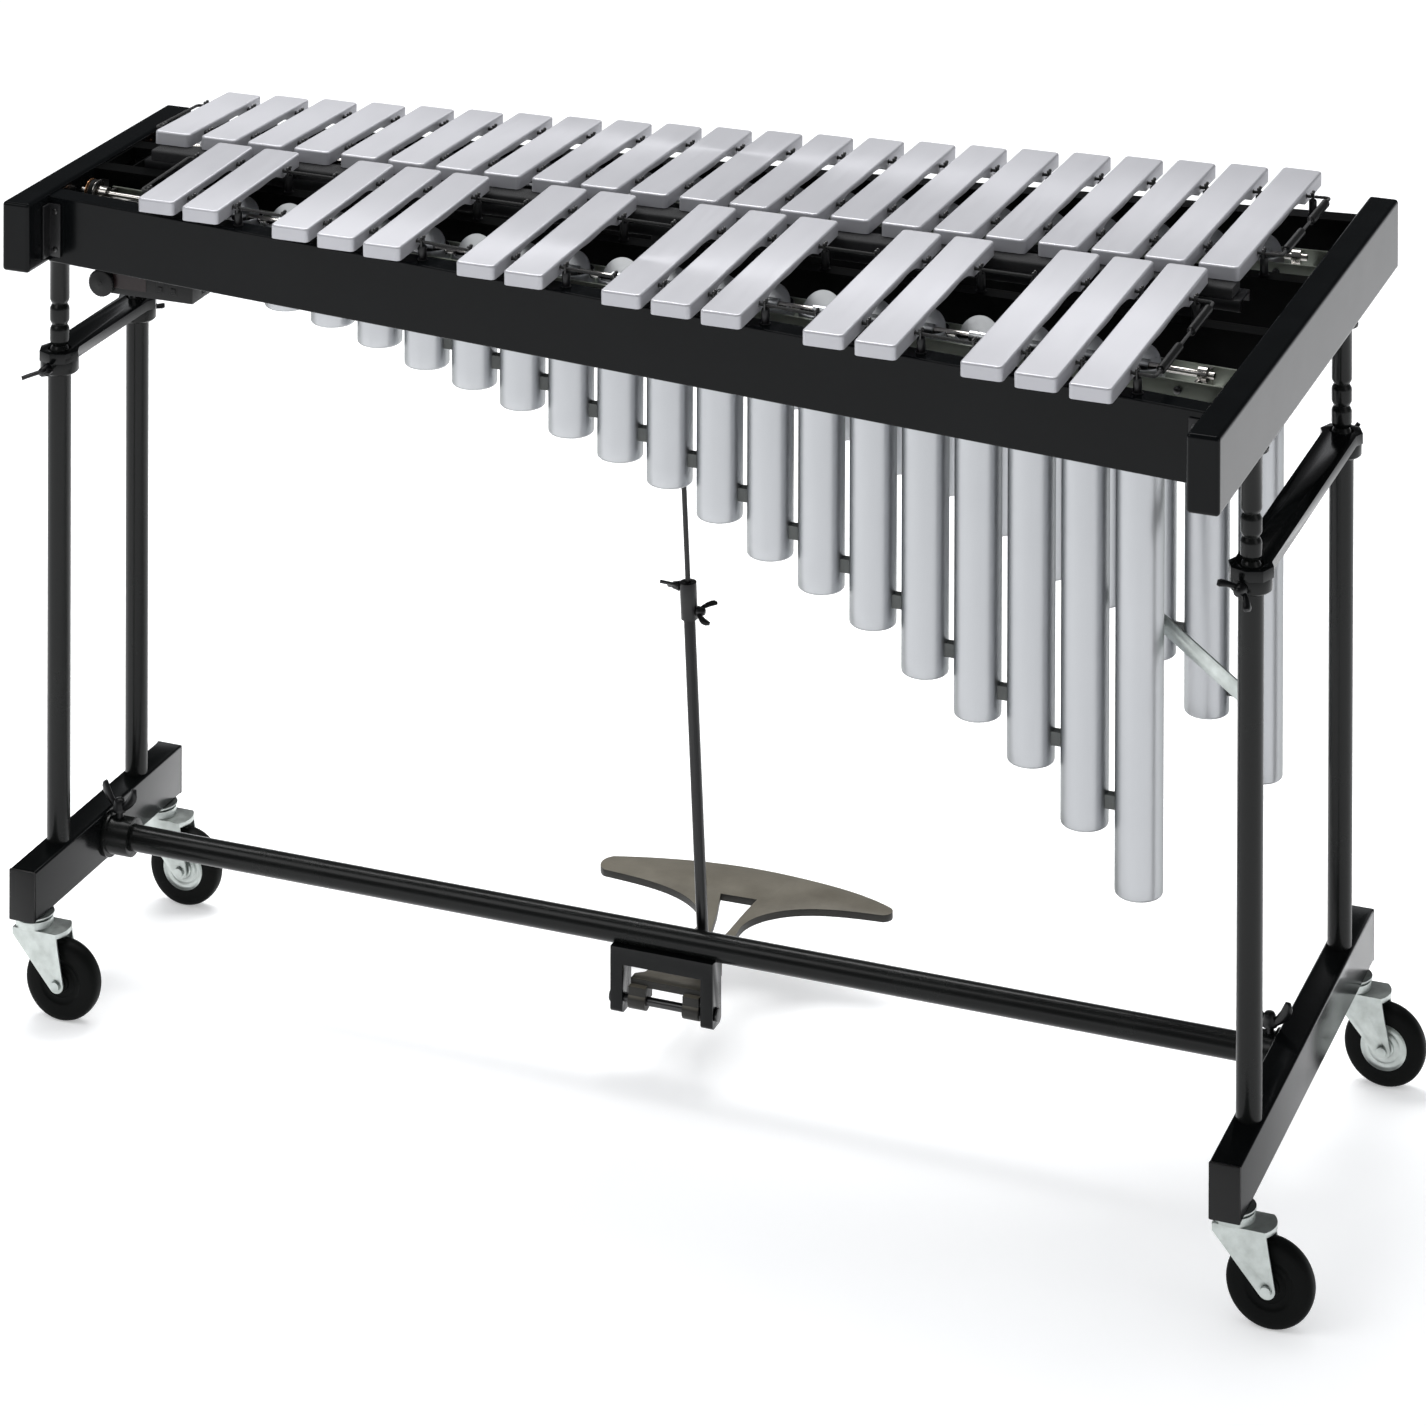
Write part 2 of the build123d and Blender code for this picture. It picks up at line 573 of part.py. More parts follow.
pedal = extrude(Pos(0, 0, PAD_Z) * plan, amount=PAD_T)
for x0, x1 in ((-34, -17), (20, 36)):
    pedal += rod(Vector(x0, PIVOT_Y, PIVOT_Z), Vector(x1, PIVOT_Y, PIVOT_Z), 8.5)
    pedal += box(x0, x1, PIVOT_Y - 6, PIVOT_Y + 12, PIVOT_Z, PAD_Z + 2)
pedal -= rod(Vector(-60, PIVOT_Y, PIVOT_Z), Vector(60, PIVOT_Y, PIVOT_Z), 4.08)
slot_x = ROD_BOTTOM.X
slot_y = ROD_BOTTOM.Y
for x0, x1 in ((slot_x - 11, slot_x - 7), (slot_x + 7, slot_x + 11)):
    pedal += box(x0, x1, slot_y - 8, slot_y + 8, ROD_BOTTOM.Z - 7, PAD_Z)
pedal -= box(slot_x - 7, slot_x + 7, slot_y - 11, slot_y + 12, 0, 200)
pedal += rod(ROD_BOTTOM + Vector(-11, 0, 0), ROD_BOTTOM + Vector(11, 0, 0), EYE_PIN_R)
save("pedal", [pedal])

# ---- bracket under the stretcher that carries the pedal ----
yoke = box(-51, -39, PIVOT_Y - 9, PIVOT_Y + 14, 50, 112)
yoke += box(39, 51, PIVOT_Y - 9, PIVOT_Y + 14, 50, 112)
yoke += box(-51, 51, PIVOT_Y - 9, PIVOT_Y + 14, 96, 112)
yoke -= Pos(0, 0, STRETCHER_Z) * Rot(0, 90, 0) * Cylinder(STRETCHER_R + 0.02, 200)
yoke = fillet(yoke.edges().filter_by(Axis.X).group_by(Axis.Z)[0], 5)
yoke -= rod(Vector(-80, PIVOT_Y, PIVOT_Z), Vector(80, PIVOT_Y, PIVOT_Z), 4.02)
save("pedal_bracket", [yoke])
pin = rod(Vector(-53, PIVOT_Y, PIVOT_Z), Vector(53, PIVOT_Y, PIVOT_Z), 4.0)
for s in (-1, 1):
    pin += rod(Vector(s * 51.1, PIVOT_Y, PIVOT_Z), Vector(s * 54, PIVOT_Y, PIVOT_Z), 6.0)
save("pedal_pin", [pin])

# ---- feet, legs and braces ----
stations = ((TREBLE_X, TREBLE_FOOT_LEN, TREBLE_LEG_Y), (BASS_X, BASS_FOOT_LEN, BASS_LEG_Y))
feet, legs, braces, collars, caps, uppers, sockets = [], [], [], [], [], [], []


def upper_leg(x, y):
    """A turned post: necks and bulges that index the height, with a flange under the end rail."""
    top = END_Z[0]
    profile = [(0, 430), (POST_R - 1, 430), (POST_R, 432), (POST_R, NECKS[0] - 6)]
    for neck in NECKS:
        profile += [(POST_R - 0.9, neck - 4), (NECK_R, neck - 1.5), (NECK_R, neck + 1.5),
                    (POST_R - 0.9, neck + 4), (POST_R, neck + 7)]
        if neck != NECKS[-1]:
            profile.append((POST_R, neck + NECK_PITCH - 7))
    profile += [(POST_R, top - 3), (15, top - 3), (15, top), (0, top)]
    return Pos(x, y, 0) * turned(profile)


def collar(x, y):
    """A clamp ring round a lower leg, under the brace."""
    height = COLLAR_Z[1] - COLLAR_Z[0]
    ring = Pos(x, y, COLLAR_Z[0]) * extrude(Circle(COLLAR_R) - Circle(LEG_R + 0.02), amount=height)
    return chamfer(ring.edges().group_by(Axis.Z)[0].sort_by(SortBy.RADIUS)[-1], 1.5)


def brace(x, leg_y):
    """A flat bar between a pair of legs, with an eight-sided pad round each."""
    height = BRACE_Z[1] - BRACE_Z[0]
    bar = box(x - BRACE_W / 2, x + BRACE_W / 2, -leg_y, leg_y, *BRACE_Z)
    for y in (-leg_y, leg_y):
        bar += Pos(x, y, BRACE_Z[0]) * extrude(RegularPolygon(COLLAR_R, 8, major_radius=False), amount=height)
        bar -= Pos(x, y, BRACE_Z[0]) * Cylinder(LEG_R + 0.02, 80)
    return bar


def foot(x, length):
    beam = box(x - FOOT_W / 2, x + FOOT_W / 2, -length / 2 + 3, length / 2 - 3, *FOOT_Z)
    beam = fillet(beam.edges().filter_by(Axis.Y), 2.5)
    return beam


wing_number = 0
for x, length, leg_y in stations:
    beam = foot(x, length)
    inward = 1 if x < 0 else -1
    for y in (-leg_y, leg_y):
        beam -= Pos(x, y, 120) * Cylinder(LEG_R + 0.02, 60)
        legs.append(tube(Vector(x, y, 92 + 20), Vector(x, y, LEG_TOP), LEG_R, LEG_BORE))
        uppers.append(upper_leg(x, y))
        ring = collar(x, y)
        wing_number += 1
        seat = Pos(x, y, COLLAR_Z[0] + 6) * Rot(0, 0, 100 if y > 0 else -100) * Pos(COLLAR_R, 0, 0)
        bore = seat * Rot(0, 90, 0) * Cylinder(2.55, 16)
        collars.append(ring - bore)
        bolt = seat * Rot(25 if x < 0 else -40, 0, 0) * wing_bolt(6.5, 1.15)
        save(f"collar_wing_bolt_{wing_number}", [bolt])
    for y in (-length / 2, length / 2):
        y0, y1 = sorted((y, y - 3 * (1 if y > 0 else -1)))
        caps.append(box(x - FOOT_W / 2, x + FOOT_W / 2, y0, y1, *FOOT_Z))
    braces.append(brace(x, leg_y))
    feet.append(beam)
    face = x + inward * FOOT_W / 2
    mouth = Vector(face + inward * 26, 0, STRETCHER_Z)
    socket = tube(Vector(face, 0, STRETCHER_Z), mouth, 18, STRETCHER_R + 0.02)
    flange = Vector(face + inward * 3.5, 0, STRETCHER_Z)
    socket += tube(Vector(face, 0, STRETCHER_Z), flange, 21.5, STRETCHER_R + 0.02)
    socket -= Pos(face + inward * SOCKET_BOLT, 0, STRETCHER_Z) * Cylinder(2.55, 60)
    sockets.append(socket)
save("feet", feet)
save("lower_legs", legs)
save("upper_legs", uppers)
save("leg_braces", braces)
save("leg_collars", collars)
save("foot_caps", caps)
save("stretcher_sockets", sockets)

STRETCHER_X = (TREBLE_X + FOOT_W / 2, BASS_X - FOOT_W / 2)
ends = [Vector(x, 0, STRETCHER_Z) for x in STRETCHER_X]
save("stretcher_tube", [tube(*ends, STRETCHER_R, STRETCHER_R - 1.6)])
socket_bolts = []
for x in (STRETCHER_X[0] + SOCKET_BOLT, STRETCHER_X[1] - SOCKET_BOLT):
    socket_bolts.append(Pos(x, 0, STRETCHER_Z + 23) * Rot(0, -90, 0) * Rot(75, 0, 0) * wing_bolt(10, 1.5))
save("socket_wing_bolts", socket_bolts)

# ---- stay between the resonators and the front bass leg ----
way = STAY_B - STAY_A
flat = Plane(origin=STAY_A, x_dir=Vector(way.X, way.Y, way.Z), z_dir=Vector(way.Y, -way.X, 0))
stay = extrude(flat * Pos(way.length / 2, 0) * SlotOverall(way.length, 15), amount=1.8)
stay += extrude(flat * Pos(way.length * 0.62, 0) * Circle(3), amount=-1.8)
stud_x = acc_x(0)
stud = STAY_A + way * ((stud_x - STAY_A.X) / way.X)
stay += rod(stud, Vector(stud_x, row_y(-1, stud_x) + TUBE_R + 0.02, stud.Z), 4.0)
save("stay_bar", [stay])

# ---- casters ----
caster_at = [(TREBLE_X, -TREBLE_CASTER_Y), (TREBLE_X, TREBLE_CASTER_Y),
             (BASS_X, -BASS_CASTER_Y), (BASS_X, BASS_CASTER_Y)]


def make_fork():
    """A pressed fork about a swivel on Z, trailing towards +X, and its axle bolt."""
    crown_top, crown_under = 86.0, 83.0
    back, nose, half = -15.0, TRAIL - 1, 16.0
    lip_out = ThreePointArc((nose, half), (nose + 6, 0), (nose, -half))
    plan = Polyline((nose, -half), (back, -half), (back, half), (nose, half))
    fork = extrude(Pos(0, 0, crown_under) * make_face([plan, lip_out]), amount=crown_top - crown_under)
    lip_in = ThreePointArc((nose, 2 - half), (nose + 4, 0), (nose, half - 2))
    lip = [lip_out, Line((nose, -half), (nose, 2 - half)), lip_in, Line((nose, half - 2), (nose, half))]
    fork += extrude(Pos(0, 0, crown_under - 1.5) * make_face(lip), amount=3)
    shoulder = Polyline((back, crown_top - 6), (back, crown_top), (nose, crown_top))
    eye = Pos(TRAIL, WHEEL_R) * Circle(7.5)
    cheek = Plane.XZ * make_hull(shoulder.edges() + eye.edges())
    for y in (-14, 16):
        fork += Pos(0, y, 0) * extrude(cheek, amount=2)
    fork += Pos(0, 0, 89.4) * Cylinder(RACE_R - 1, 7)
    fork -= Pos(0, 0, 90) * Cylinder(4.1, 20)
    fork -= Pos(TRAIL, 0, WHEEL_R) * Rot(90, 0, 0) * Cylinder(4.02, 60)
    axle = Pos(TRAIL, 0, WHEEL_R) * Rot(90, 0, 0) * Cylinder(4.0, 36)
    for y in (-18.0, 18.0):
        axle += Pos(TRAIL, y, WHEEL_R) * Rot(90, 0, 0) * Cylinder(4.6, 3)
    return fork, axle


def make_wheel():
    """Tyre and hub about the axle, which lies along Y."""
    w = WHEEL_W / 2
    rim = 22.0
    tyre = [(rim, -w + 1), (WHEEL_R - 3, -w + 1), (WHEEL_R - 0.8, -w + 3), (WHEEL_R, -w + 6),
            (WHEEL_R, w - 6), (WHEEL_R - 0.8, w - 3), (WHEEL_R - 3, w - 1), (rim, w - 1)]
    hub = [(4.08, -w - 2), (9, -w - 2), (10, -w + 2), (rim - 2, -w + 2.5), (rim - 0.02, -w), (rim - 0.02, w),
           (rim - 2, w - 2.5), (10, w - 2), (9, w + 2), (4.08, w + 2)]
    place = Pos(TRAIL, 0, WHEEL_R) * Rot(90, 0, 0)
    return place * turned(tyre), place * turned(hub)


fork, axle = make_fork()
tyre, hub = make_wheel()
plates = []
for number, (x, y) in enumerate(caster_at, 1):
    at = Pos(x, y, 0)
    save(f"caster_{number}_fork", [at * fork, at * axle])
    save(f"caster_{number}_wheel", [at * tyre, at * hub])
    king_pin = Pos(x, y, PLATE_Z - 5.5) * Cylinder(4.0, 14) + Pos(x, y, 81.3) * Cylinder(7, 3)
    plates.append(Pos(x, y, PLATE_Z + 1.5) * Cylinder(RACE_R, 3) + king_pin)
save("caster_plates", plates)
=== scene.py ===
import json
import math

import bmesh
import bpy
import numpy as np
from mathutils import Matrix, Vector, noise as field


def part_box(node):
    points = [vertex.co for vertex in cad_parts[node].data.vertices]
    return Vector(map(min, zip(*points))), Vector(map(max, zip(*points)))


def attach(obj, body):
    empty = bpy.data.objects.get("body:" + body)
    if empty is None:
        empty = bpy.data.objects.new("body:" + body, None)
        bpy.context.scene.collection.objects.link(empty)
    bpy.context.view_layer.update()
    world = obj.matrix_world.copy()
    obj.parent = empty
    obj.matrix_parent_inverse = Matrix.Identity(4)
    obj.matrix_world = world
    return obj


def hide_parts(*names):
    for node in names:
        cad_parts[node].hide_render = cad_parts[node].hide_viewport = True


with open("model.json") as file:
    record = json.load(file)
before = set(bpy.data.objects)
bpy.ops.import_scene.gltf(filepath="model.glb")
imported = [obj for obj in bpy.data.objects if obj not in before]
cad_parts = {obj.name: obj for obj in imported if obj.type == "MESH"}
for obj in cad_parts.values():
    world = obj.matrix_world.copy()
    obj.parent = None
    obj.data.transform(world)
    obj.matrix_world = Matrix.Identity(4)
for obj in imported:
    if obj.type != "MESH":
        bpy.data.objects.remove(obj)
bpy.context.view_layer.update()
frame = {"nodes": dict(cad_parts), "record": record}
NODES = frame["nodes"]
RECORD = frame["record"]

MM = 0.001
BODIES = RECORD["behaviour"]["bodies"]
BODY_OF = {node: body for body, nodes in BODIES.items() for node in nodes}
JOINT = {joint["name"]: joint for joint in RECORD["behaviour"]["joints"]}


# ---------- materials
def tree(name):
    """A new node material: (material, node maker, linker, its Principled shader)."""
    mat = bpy.data.materials.new(name)
    mat.use_nodes = True
    nt = mat.node_tree
    bsdf = nt.nodes["Principled BSDF"]

    def make(kind, **inputs):
        node = nt.nodes.new(kind)
        for key, value in inputs.items():
            if key in node.inputs:
                node.inputs[key].default_value = value
            else:
                setattr(node, key, value)
        return node

    return mat, make, nt.links.new, bsdf


def scaled_coords(make, link, scale):
    """Object coordinates stretched by a scale, in metres."""
    coords = make("ShaderNodeTexCoord")
    mapping = make("ShaderNodeMapping")
    mapping.inputs["Scale"].default_value = scale
    link(coords.outputs["Object"], mapping.inputs["Vector"])
    return mapping.outputs["Vector"]


def noise(make, link, vector, scale, detail=4.0, rough=0.55):
    """A noise texture's value, from 0 to 1."""
    node = make("ShaderNodeTexNoise", Scale=scale, Detail=detail, Roughness=rough)
    link(vector, node.inputs["Vector"])
    return node.outputs["Fac"]


def mix_colour(make, link, fac, a, b):
    """Colour a turning into colour b; each of the three may be a value or a socket."""
    node = make("ShaderNodeMix", data_type="RGBA")
    for value, socket in ((fac, 0), (a, 6), (b, 7)):
        if isinstance(value, bpy.types.NodeSocket):
            link(value, node.inputs[socket])
        else:
            node.inputs[socket].default_value = value if socket == 0 else (*value, 1)
    return node.outputs[2]


def span(make, link, value, low, high, out_low, out_high):
    """A value mapped from low..high to out_low..out_high, held at the ends."""
    node = make("ShaderNodeMapRange")
    node.inputs["From Min"].default_value = low
    node.inputs["From Max"].default_value = high
    node.inputs["To Min"].default_value = out_low
    node.inputs["To Max"].default_value = out_high
    link(value, node.inputs["Value"])
    return node.outputs["Result"]


def bump(make, link, bsdf, height, strength, distance):
    """Relief from a height value, its depth in metres."""
    node = make("ShaderNodeBump", Strength=strength, Distance=distance)
    link(height, node.inputs["Height"])
    link(node.outputs["Normal"], bsdf.inputs["Normal"])


def brushed(name, colour, dark, stretch, rough=(0.28, 0.42), metal=1.0, blotch=6.0, grazing_shade=None):
    """Metal with fine brushing and a slow change of tone, turning to a colour of painted shade
    where the surface is seen at a slant.
    """
    mat, make, link, bsdf = tree(name)
    fine = noise(make, link, scaled_coords(make, link, stretch), 6.0, 6.0, 0.7)
    slow = noise(make, link, scaled_coords(make, link, (1, 1, 1)), blotch, 3.0)
    tone = mix_colour(make, link, span(make, link, slow, 0.3, 0.7, 0.0, 1.0), dark, colour)
    tone = mix_colour(make, link, span(make, link, fine, 0.25, 0.75, 0.0, 0.35), tone, colour)
    if grazing_shade:
        # Painted shade: the colour darkens where the surface is seen edge-on, standing in for the
        # dark reflections seen at grazing angles.
        slant = make("ShaderNodeLayerWeight", Blend=0.5).outputs["Facing"]
        tone = mix_colour(make, link, span(make, link, slant, 0.35, 0.95, 0.0, 1.0), tone, grazing_shade)
    link(tone, bsdf.inputs["Base Color"])
    link(span(make, link, fine, 0.2, 0.8, *rough), bsdf.inputs["Roughness"])
    bsdf.inputs["Metallic"].default_value = metal
    bsdf.inputs["Anisotropic"].default_value = 0.3
    bump(make, link, bsdf, fine, 0.15, 0.02 * MM)
    return mat


def facing_up(make, link):
    """1 on upward faces, 0 on upright and hanging ones."""
    split = make("ShaderNodeSeparateXYZ")
    link(make("ShaderNodeNewGeometry").outputs["Normal"], split.inputs["Vector"])
    return span(make, link, split.outputs["Z"], 0.35, 0.8, 0.0, 1.0)


def lacquer(name, colour, rough, peel=0.1, gloss=0.35, peel_scale=900.0,
            top_gloss=None, top_colour=None):
    """Sprayed paint with fine orange peel and a faint dust, duller or paler on top if asked."""
    mat, make, link, bsdf = tree(name)
    skin = noise(make, link, scaled_coords(make, link, (1, 1, 1)), peel_scale, 2.0)
    dust = noise(make, link, scaled_coords(make, link, (1, 1, 1)), 14.0, 6.0, 0.65)
    light = tuple(c * 1.6 + 0.0005 for c in colour)
    tone = mix_colour(make, link, span(make, link, dust, 0.45, 0.8, 0.0, 0.6), colour, light)
    if top_colour:
        # Upward faces take a paler colour, mottled by the dust noise.
        upward_tone = mix_colour(make, link, span(make, link, dust, 0.35, 0.65, 0.0, 1.0), *top_colour)
        tone = mix_colour(make, link, facing_up(make, link), tone, upward_tone)
    link(tone, bsdf.inputs["Base Color"])
    link(span(make, link, dust, 0.3, 0.7, *rough), bsdf.inputs["Roughness"])
    bsdf.inputs["Specular IOR Level"].default_value = gloss
    if top_gloss is not None:
        shine = span(make, link, facing_up(make, link), 0.0, 1.0, gloss, top_gloss)
        link(shine, bsdf.inputs["Specular IOR Level"])
    bump(make, link, bsdf, skin, peel, 0.2 * MM)
    return mat


def moulded(name, colour, rough=(0.45, 0.6), grain=0.25, gloss=0.35):
    """Moulded plastic or rubber with a spark-eroded grain."""
    mat, make, link, bsdf = tree(name)
    fine = noise(make, link, scaled_coords(make, link, (1, 1, 1)), 1400.0, 3.0)
    slow = noise(make, link, scaled_coords(make, link, (1, 1, 1)), 30.0, 4.0)
    light = tuple(c * 1.6 + 0.001 for c in colour)
    cloud = span(make, link, slow, 0.35, 0.7, 0.0, 0.7)
    link(mix_colour(make, link, cloud, colour, light), bsdf.inputs["Base Color"])
    link(span(make, link, slow, 0.3, 0.7, *rough), bsdf.inputs["Roughness"])
    bsdf.inputs["Specular IOR Level"].default_value = gloss
    bump(make, link, bsdf, fine, grain, 0.3 * MM)
    return mat


def woolly(name, colour, light, scale, sheen):
    """Felt or yarn: a fine fibrous bump with a soft sheen."""
    mat, make, link, bsdf = tree(name)
    fibre = noise(make, link, scaled_coords(make, link, (1, 1, 1)), scale, 6.0, 0.75)
    lump = noise(make, link, scaled_coords(make, link, (1, 1, 1)), 160.0, 4.0)
    tone = mix_colour(make, link, span(make, link, fibre, 0.3, 0.7, 0.0, 1.0), colour, light)
    tone = mix_colour(make, link, span(make, link, lump, 0.3, 0.75, 0.0, 0.4), tone, colour)
    link(tone, bsdf.inputs["Base Color"])
    bsdf.inputs["Roughness"].default_value = 0.95
    bsdf.inputs["Sheen Weight"].default_value = sheen
    bump(make, link, bsdf, fibre, 0.8, 0.5 * MM)
    return mat


M = {
    "rail": lacquer("rail_lacquer", (0.0022, 0.0026, 0.0029), rough=(0.14, 0.20), peel=0.04,
                    gloss=0.15, top_gloss=0.02),
    "inside": lacquer("inside_lacquer", (0.0008, 0.0009, 0.0009), rough=(0.4, 0.5),
                      gloss=0.05, top_gloss=0.02),
    "frame": lacquer("frame_lacquer", (0.0022, 0.0026, 0.0027), rough=(0.14, 0.22), peel=0.04,
                     gloss=0.24, top_gloss=0.06),
    "gloss": lacquer("leg_enamel", (0.005, 0.0055, 0.0052), rough=(0.20, 0.30), peel=0.05,
                     gloss=0.24),
    # The tubes turn darker at grazing angles: painted shade.
    "tube": brushed("tube_anodised", (0.49, 0.50, 0.515), (0.43, 0.44, 0.455), (60, 60, 2),
                    rough=(0.30, 0.40), blotch=3.0, grazing_shade=(0.13, 0.145, 0.145)),
    "spacer": moulded("grey_spacer", (0.085, 0.09, 0.087), rough=(0.4, 0.55)),
    "tube_inside": lacquer("tube_inside", (0.006, 0.006, 0.007), rough=(0.5, 0.7), gloss=0.2),
    "strip": brushed("strip_anodised", (0.30, 0.32, 0.28), (0.24, 0.26, 0.22), (2, 60, 60)),
    "zinc": brushed("zinc_plate", (0.60, 0.64, 0.62), (0.40, 0.43, 0.41), (20, 20, 20),
                    rough=(0.28, 0.45), blotch=70.0),
    "steel": brushed("bright_steel", (0.60, 0.58, 0.55), (0.42, 0.40, 0.38), (2, 120, 120),
                     rough=(0.15, 0.28)),
    "dark_steel": brushed("dark_steel", (0.10, 0.10, 0.10), (0.05, 0.05, 0.05), (40, 40, 40),
                          rough=(0.25, 0.4)),
    "black_steel": lacquer("black_oxide", (0.004, 0.004, 0.0045), rough=(0.28, 0.4), peel=0.15,
                           gloss=0.45, peel_scale=1500.0, top_gloss=0.15),
    "fan": brushed("fan_sheet", (0.45, 0.46, 0.47), (0.34, 0.35, 0.36), (80, 3, 80),
                   rough=(0.25, 0.4)),
    "copper": brushed("copper_alloy", (0.70, 0.36, 0.19), (0.5, 0.25, 0.12), (100, 100, 100),
                      rough=(0.2, 0.35)),
    "rubber": moulded("black_rubber", (0.0018, 0.0022, 0.002), gloss=0.08),
    "plastic": moulded("black_plastic", (0.004, 0.004, 0.004), rough=(0.35, 0.5), gloss=0.28),
    "panel": moulded("panel_plastic", (0.014, 0.008, 0.008), rough=(0.3, 0.4), grain=0.08),
    "bar": brushed("bar_anodised", (0.50, 0.50, 0.525), (0.44, 0.44, 0.465), (60, 2, 60),
                   rough=(0.44, 0.54), metal=0.6, blotch=5.0),
    "pedal": lacquer("cast_bronze_grey", (0.020, 0.019, 0.016), rough=(0.38, 0.52), peel=0.5,
                     peel_scale=420.0, top_colour=((0.105, 0.094, 0.072), (0.160, 0.146, 0.115))),
    "felt": woolly("damper_felt_wool", (0.004, 0.004, 0.0045), (0.014, 0.014, 0.015), 2500.0, 0.06),
    "cord": woolly("cord_yarn", (0.006, 0.006, 0.006), (0.022, 0.022, 0.022), 4000.0, 0.1),
}

PAINT = {
    "rail": ["front_rail", "treble_end_rail", "bass_end_rail"],
    "inside": ["back_rail", "inner_rails"],
    "gloss": ["lower_legs", "stretcher_tube"],
    "bar": ["natural_bars", "accidental_bars"],
    "strip": ["bank_rails"],
    "steel": ["front_fan_shaft", "back_fan_shaft", "motor_pulley", "shaft_bearings"],
    "black_steel": ["upper_rod", "damper_guides"],
    "fan": ["front_fans", "back_fans"],
    "rubber": ["drive_belts"],
    "spacer": ["tube_spacers"],
}
for paint, nodes in PAINT.items():
    for node in nodes:
        NODES[node].data.materials.clear()
        NODES[node].data.materials.append(M[paint])


# ---------- reading the frame
def islands(node):
    """The points of each separate solid of a CAD node, as arrays in metres, ordered along X."""
    mesh = NODES[node].data
    points = np.array([v.co for v in mesh.vertices])
    seen = {}
    parent = list(range(len(points)))

    def root(i):
        while parent[i] != i:
            parent[i] = parent[parent[i]]
            i = parent[i]
        return i

    for i, key in enumerate(map(tuple, np.round(points, 6))):
        parent[root(i)] = root(seen.setdefault(key, i))
    for face in mesh.polygons:
        first = root(face.vertices[0])
        for other in face.vertices[1:]:
            parent[root(other)] = first
    groups = {}
    for i in range(len(points)):
        groups.setdefault(root(i), []).append(i)
    return sorted((points[g] for g in groups.values()), key=lambda p: p[:, 0].mean())


def extent(points):
    """The lowest and highest corner of some points."""
    return Vector(points.min(0)), Vector(points.max(0))


def aim(place, axis, spin=0.0):
    """A matrix that puts local Z along an axis."""
    turn = Vector(axis).normalized().to_track_quat("Z", "Y").to_matrix().to_4x4()
    return Matrix.Translation(place) @ turn @ Matrix.Rotation(spin, 4, "Z")


# ---------- mesh parts: (points in metres, faces)
def lathe(profile, segments=32, ripple=(0, 0.0)):
    """A surface of revolution about Z from (radius, height) in millimetres.

    ripple is (number of flutes, their depth) round the widest part."""
    points, rings, faces = [], [], []
    lobes, depth = ripple
    top_radius = max(r for r, _ in profile)
    for radius, height in profile:
        if radius < 1e-6:
            rings.append([len(points)] * segments)
            points.append((0, 0, height * MM))
            continue
        ring = []
        for k in range(segments):
            a = 2 * math.pi * k / segments
            dip = depth * max(0.0, math.cos(lobes * a)) if radius > 0.9 * top_radius else 0.0
            r = (radius - dip) * MM
            ring.append(len(points))
            points.append((r * math.cos(a), r * math.sin(a), height * MM))
        rings.append(ring)
    for low, high in zip(rings, rings[1:]):
        for k in range(segments):
            n = (k + 1) % segments
            face = list(dict.fromkeys((low[k], low[n], high[n], high[k])))
            if len(face) > 2:
                faces.append(face)
    return points, faces


def rounded_path(corners, radius, step):
    """Points in metres along straight runs joined by small arcs, closely spaced."""
    out = [Vector(corners[0])]
    for before, corner, after in zip(corners, corners[1:], corners[2:]):
        a = (Vector(before) - Vector(corner)).normalized() * radius
        b = (Vector(after) - Vector(corner)).normalized() * radius
        for k in range(7):
            t = k / 6
            out.append(Vector(corner) + a * (1 - t) ** 2 + b * t ** 2)
    out.append(Vector(corners[-1]))
    fine = [out[0]]
    for a, b in zip(out, out[1:]):
        count = max(1, int((b - a).length / step))
        fine += [a.lerp(b, (k + 1) / count) for k in range(count)]
    return fine


def along(path, section):
    """A closed tube round a path. section(k) gives the (across, up) offsets of ring k in metres."""
    points, faces = [], []
    up = Vector((0, 0, 1))
    sides = 0
    for k, place in enumerate(path):
        way = (path[min(k + 1, len(path) - 1)] - path[max(k - 1, 0)]).normalized()
        side = way.cross(up)
        side = side.normalized() if side.length > 1e-3 else Vector((1, 0, 0))
        lift = side.cross(way)
        ring = section(k)
        sides = len(ring)
        points += [tuple(place + side * u + lift * v) for u, v in ring]
    for k in range(len(path) - 1):
        for s in range(sides):
            n = (s + 1) % sides
            faces.append((k * sides + s, k * sides + n, (k + 1) * sides + n, (k + 1) * sides + s))
    faces.append(tuple(reversed(range(sides))))
    faces.append(tuple((len(path) - 1) * sides + s for s in range(sides)))
    return points, faces


def round_section(radius, sides):
    """A circular ring for along()."""
    angles = [2 * math.pi * s / sides for s in range(sides)]
    ring = [(radius * math.cos(a), radius * math.sin(a)) for a in angles]
    return lambda k: ring


def transformed(part, matrix):
    """A part's points moved by a matrix."""
    return [tuple(matrix @ Vector(p)) for p in part[0]], part[1]


def piece(name, parts, materials, stands_for, body=None, sharp=40.0):
    """One object from (part, matrix, material index) entries, standing for CAD nodes."""
    mesh = bpy.data.meshes.new(name)
    points, faces, slots = [], [], []
    for part, matrix, slot in parts:
        base = len(points)
        moved, part_faces = transformed(part, matrix)
        points += moved
        faces += [tuple(base + i for i in face) for face in part_faces]
        slots += [slot] * len(part_faces)
    mesh.from_pydata(points, [], faces)
    bm = bmesh.new()
    bm.from_mesh(mesh)
    bmesh.ops.recalc_face_normals(bm, faces=bm.faces)
    bm.to_mesh(mesh)
    bm.free()
    mesh.polygons.foreach_set("material_index", slots)
    return finish_piece(name, mesh, materials, stands_for, body, sharp)


